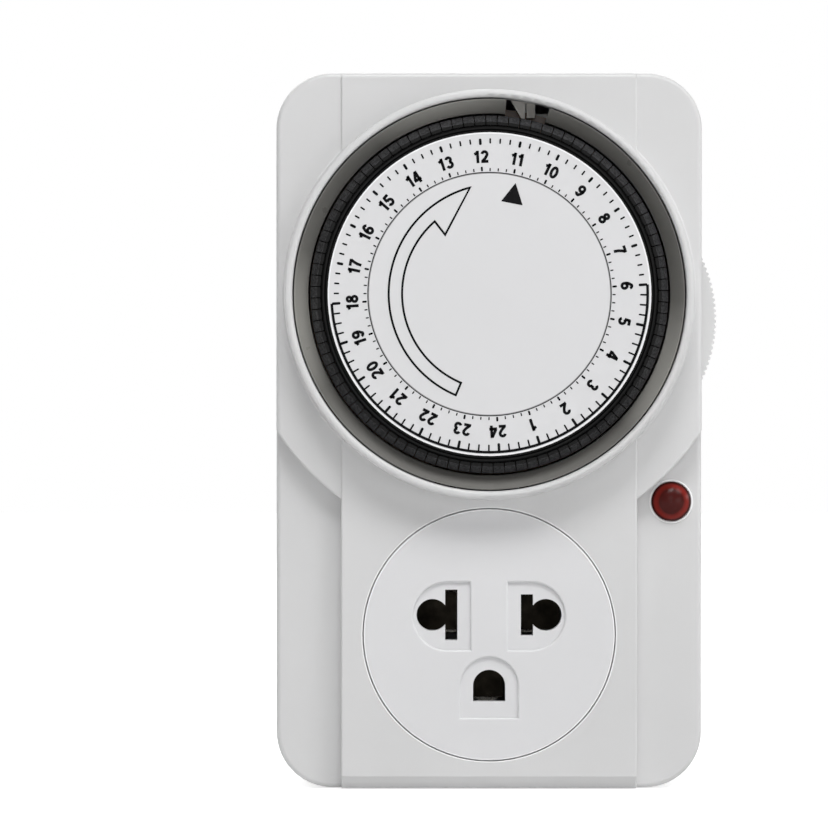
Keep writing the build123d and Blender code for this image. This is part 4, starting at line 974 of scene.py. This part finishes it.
class TIMER_OT_finishes(Operator):
    """Give every piece of the frame the finish of its material slot, but the socket's contacts a
    brass painted dark for the shade in their openings
    """

    bl_idname = "timer.finishes"
    bl_label = "Finishes"

    def execute(self, context):
        materials = slot_materials(context.scene.timer_finish)
        shade_brass = plated("tarnished_brass", SHADE_BRASS, DARK_SHADE_BRASS, 0.34)
        for row in frame["record"]["subparts"]:
            mesh = frame["nodes"][row["node"]].data
            # the contacts in the openings take the brass with painted shade
            painted_light = row["node"] in SOCKET_CONTACTS
            mesh.materials.clear()
            mesh.materials.append(shade_brass if painted_light else materials[row["material_slot"]])
        return {"FINISHED"}


# ---- stage -----------------------------------------------------------------------------------
# each light's place and diameter in metres, and the name of its power setting
LIGHTS = {
    "key": ((0.0, -0.72, 1.05), 0.55, "key_power"),
    "right": ((0.60, -0.60, 0.80), 0.45, "right_power"),
    "left": ((-0.80, -0.35, 0.60), 0.50, "left_power"),
    "edge": ((0.90, -0.15, 0.25), 0.30, "edge_power"),
    "low": ((0.60, -0.90, 0.05), 0.50, "low_power"),
    "front": ((0.0, -1.40, 0.35), 0.60, "front_power"),
    "rear": ((-0.45, 1.00, 0.85), 1.60, "rear_power"),
}
LIGHTS_AIM = 30.0 * MM              # depth of the point in the body's middle that they aim at
FLOOR_HALF = 3.0
FLOOR_NEAR, FLOOR_FAR = 0.15, 0.60  # where the floor starts to whiten and where it is white
CAMERA_X = -12.6 * MM
CAMERA_RISE = 2.8 * MM              # above the body's middle
CAMERA_REACH = 20.0


def seen_directly(tree):
    """1 for camera rays and for rays in mirrors and glass, else 0."""
    path = tree.nodes.new("ShaderNodeLightPath")
    mirror = calculated(tree, "MAXIMUM", path.outputs["Is Glossy Ray"],
                        path.outputs["Is Transmission Ray"])
    return calculated(tree, "MAXIMUM", path.outputs["Is Camera Ray"], mirror)


def floor_material(lift):
    """Pale floor: its own light lifts it to white, wholly so away from the object, and the
    object's shadow stays near it."""
    material, tree, shader, place = blank("floor_pale")
    shader.inputs["Roughness"].default_value = 0.9
    shade = tinted(tree, noise(tree, place, 6.0), (0.80, 0.80, 0.80), (0.82, 0.82, 0.82))
    tree.links.new(shade, shader.inputs["Base Color"])
    length = tree.nodes.new("ShaderNodeVectorMath")
    length.operation = "LENGTH"
    tree.links.new(place, length.inputs[0])
    away = spread(tree, length.outputs["Value"], lift, 1.0, FLOOR_NEAR, FLOOR_FAR)
    glow = calculated(tree, "MULTIPLY", away, seen_directly(tree))
    shader.inputs["Emission Color"].default_value = (1, 1, 1, 1)
    tree.links.new(glow, shader.inputs["Emission Strength"])
    return material


def area_light(name, place, aim, size, power):
    """A round soft light that faces a point."""
    data = bpy.data.lights.new(name, "AREA")
    data.shape = "DISK"
    data.size = size
    data.energy = power
    light = bpy.data.objects.new(name, data)
    light.location = place
    light.rotation_euler = (Vector(aim) - Vector(place)).to_track_quat("-Z", "Y").to_euler()
    bpy.context.scene.collection.objects.link(light)


class TIMER_OT_stage(Operator):
    """Set the floor, the white surround, the soft lights and the camera"""

    bl_idname = "timer.stage"
    bl_label = "Stage"

    def execute(self, context):
        settings = context.scene.timer_stage
        self.add_floor(settings.floor_lift)
        self.add_world(settings.sky)
        aim = ((BODY_LOW.x + BODY_HIGH.x) / 2, -LIGHTS_AIM, (BODY_LOW.z + BODY_HIGH.z) / 2)
        for name, (place, size, power) in LIGHTS.items():
            area_light(name, place, aim, size, getattr(settings, power))
        self.add_camera(settings)
        context.scene.view_settings.view_transform = "Standard"
        return {"FINISHED"}

    @staticmethod
    def add_floor(lift):
        """A wide square at the foot of the timer."""
        mesh = bpy.data.meshes.new("floor")
        corners = [(FLOOR_HALF * x, FLOOR_HALF * y, CAD_LOW.z)
                   for x, y in ((-1, -1), (1, -1), (1, 1), (-1, 1))]
        mesh.from_pydata(corners, [], [(0, 1, 2, 3)])
        mesh.materials.append(floor_material(lift))
        floor = bpy.data.objects.new("floor", mesh)
        bpy.context.scene.collection.objects.link(floor)

    @staticmethod
    def add_world(strength):
        """Even light from all round, and white wherever the surround is seen directly."""
        world = bpy.data.worlds.new("surround")
        world.use_nodes = True
        tree = world.node_tree
        sky = tree.nodes["Background"]
        sky.inputs["Color"].default_value = (1, 1, 1, 1)
        seen = calculated(tree, "MAXIMUM", seen_directly(tree), strength)
        tree.links.new(seen, sky.inputs["Strength"])
        bpy.context.scene.world = world

    @staticmethod
    def add_camera(settings):
        """Level and square to the face, far in front of it."""
        data = bpy.data.cameras.new("camera")
        data.lens = settings.lens
        data.clip_end = CAMERA_REACH
        camera = bpy.data.objects.new("camera", data)
        height = (BODY_LOW.z + BODY_HIGH.z) / 2 + CAMERA_RISE
        camera.location = (CAMERA_X, -BODY_FACE - settings.camera_distance, height)
        camera.rotation_euler = (pi / 2, 0, 0)
        bpy.context.scene.collection.objects.link(camera)
        bpy.context.scene.camera = camera


# ---- add-on ----------------------------------------------------------------------------------
class TIMER_PT_sidebar(Panel):
    """Buttons for the steps, in order, and all their settings"""

    bl_label = "Day timer"
    bl_idname = "TIMER_PT_sidebar"
    bl_space_type = "VIEW_3D"
    bl_region_type = "UI"
    bl_category = "Timer"

    def draw(self, context):
        layout = self.layout
        for operator in OPERATORS:
            layout.operator(operator.bl_idname)
        for attribute in SETTINGS:
            settings = getattr(context.scene, attribute)
            box = layout.box()
            for name in settings.__annotations__:
                box.prop(settings, name)


OPERATORS = (
    TIMER_OT_finishes,
    TIMER_OT_ring_print,
    TIMER_OT_disc_print,
    TIMER_OT_cover_screws,
    TIMER_OT_stage,
)
SETTINGS = {
    "timer_print": DialPrintSettings,
    "timer_screws": ScrewSettings,
    "timer_finish": FinishSettings,
    "timer_stage": StageSettings,
}
CLASSES = (*SETTINGS.values(), *OPERATORS, TIMER_PT_sidebar)


def register():
    """Add the classes, and the settings to each scene."""
    for cls in CLASSES:
        bpy.utils.register_class(cls)
    for attribute, cls in SETTINGS.items():
        setattr(bpy.types.Scene, attribute, PointerProperty(type=cls))


def unregister():
    """Take both away again."""
    for attribute in SETTINGS:
        delattr(bpy.types.Scene, attribute)
    for cls in reversed(CLASSES):
        bpy.utils.unregister_class(cls)


def main():
    """Finish, print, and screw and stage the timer."""
    register()
    bpy.ops.timer.finishes()
    bpy.ops.timer.ring_print()
    bpy.ops.timer.disc_print()
    bpy.ops.timer.cover_screws()
    bpy.ops.timer.stage()


if __name__ == "__main__":
    main()
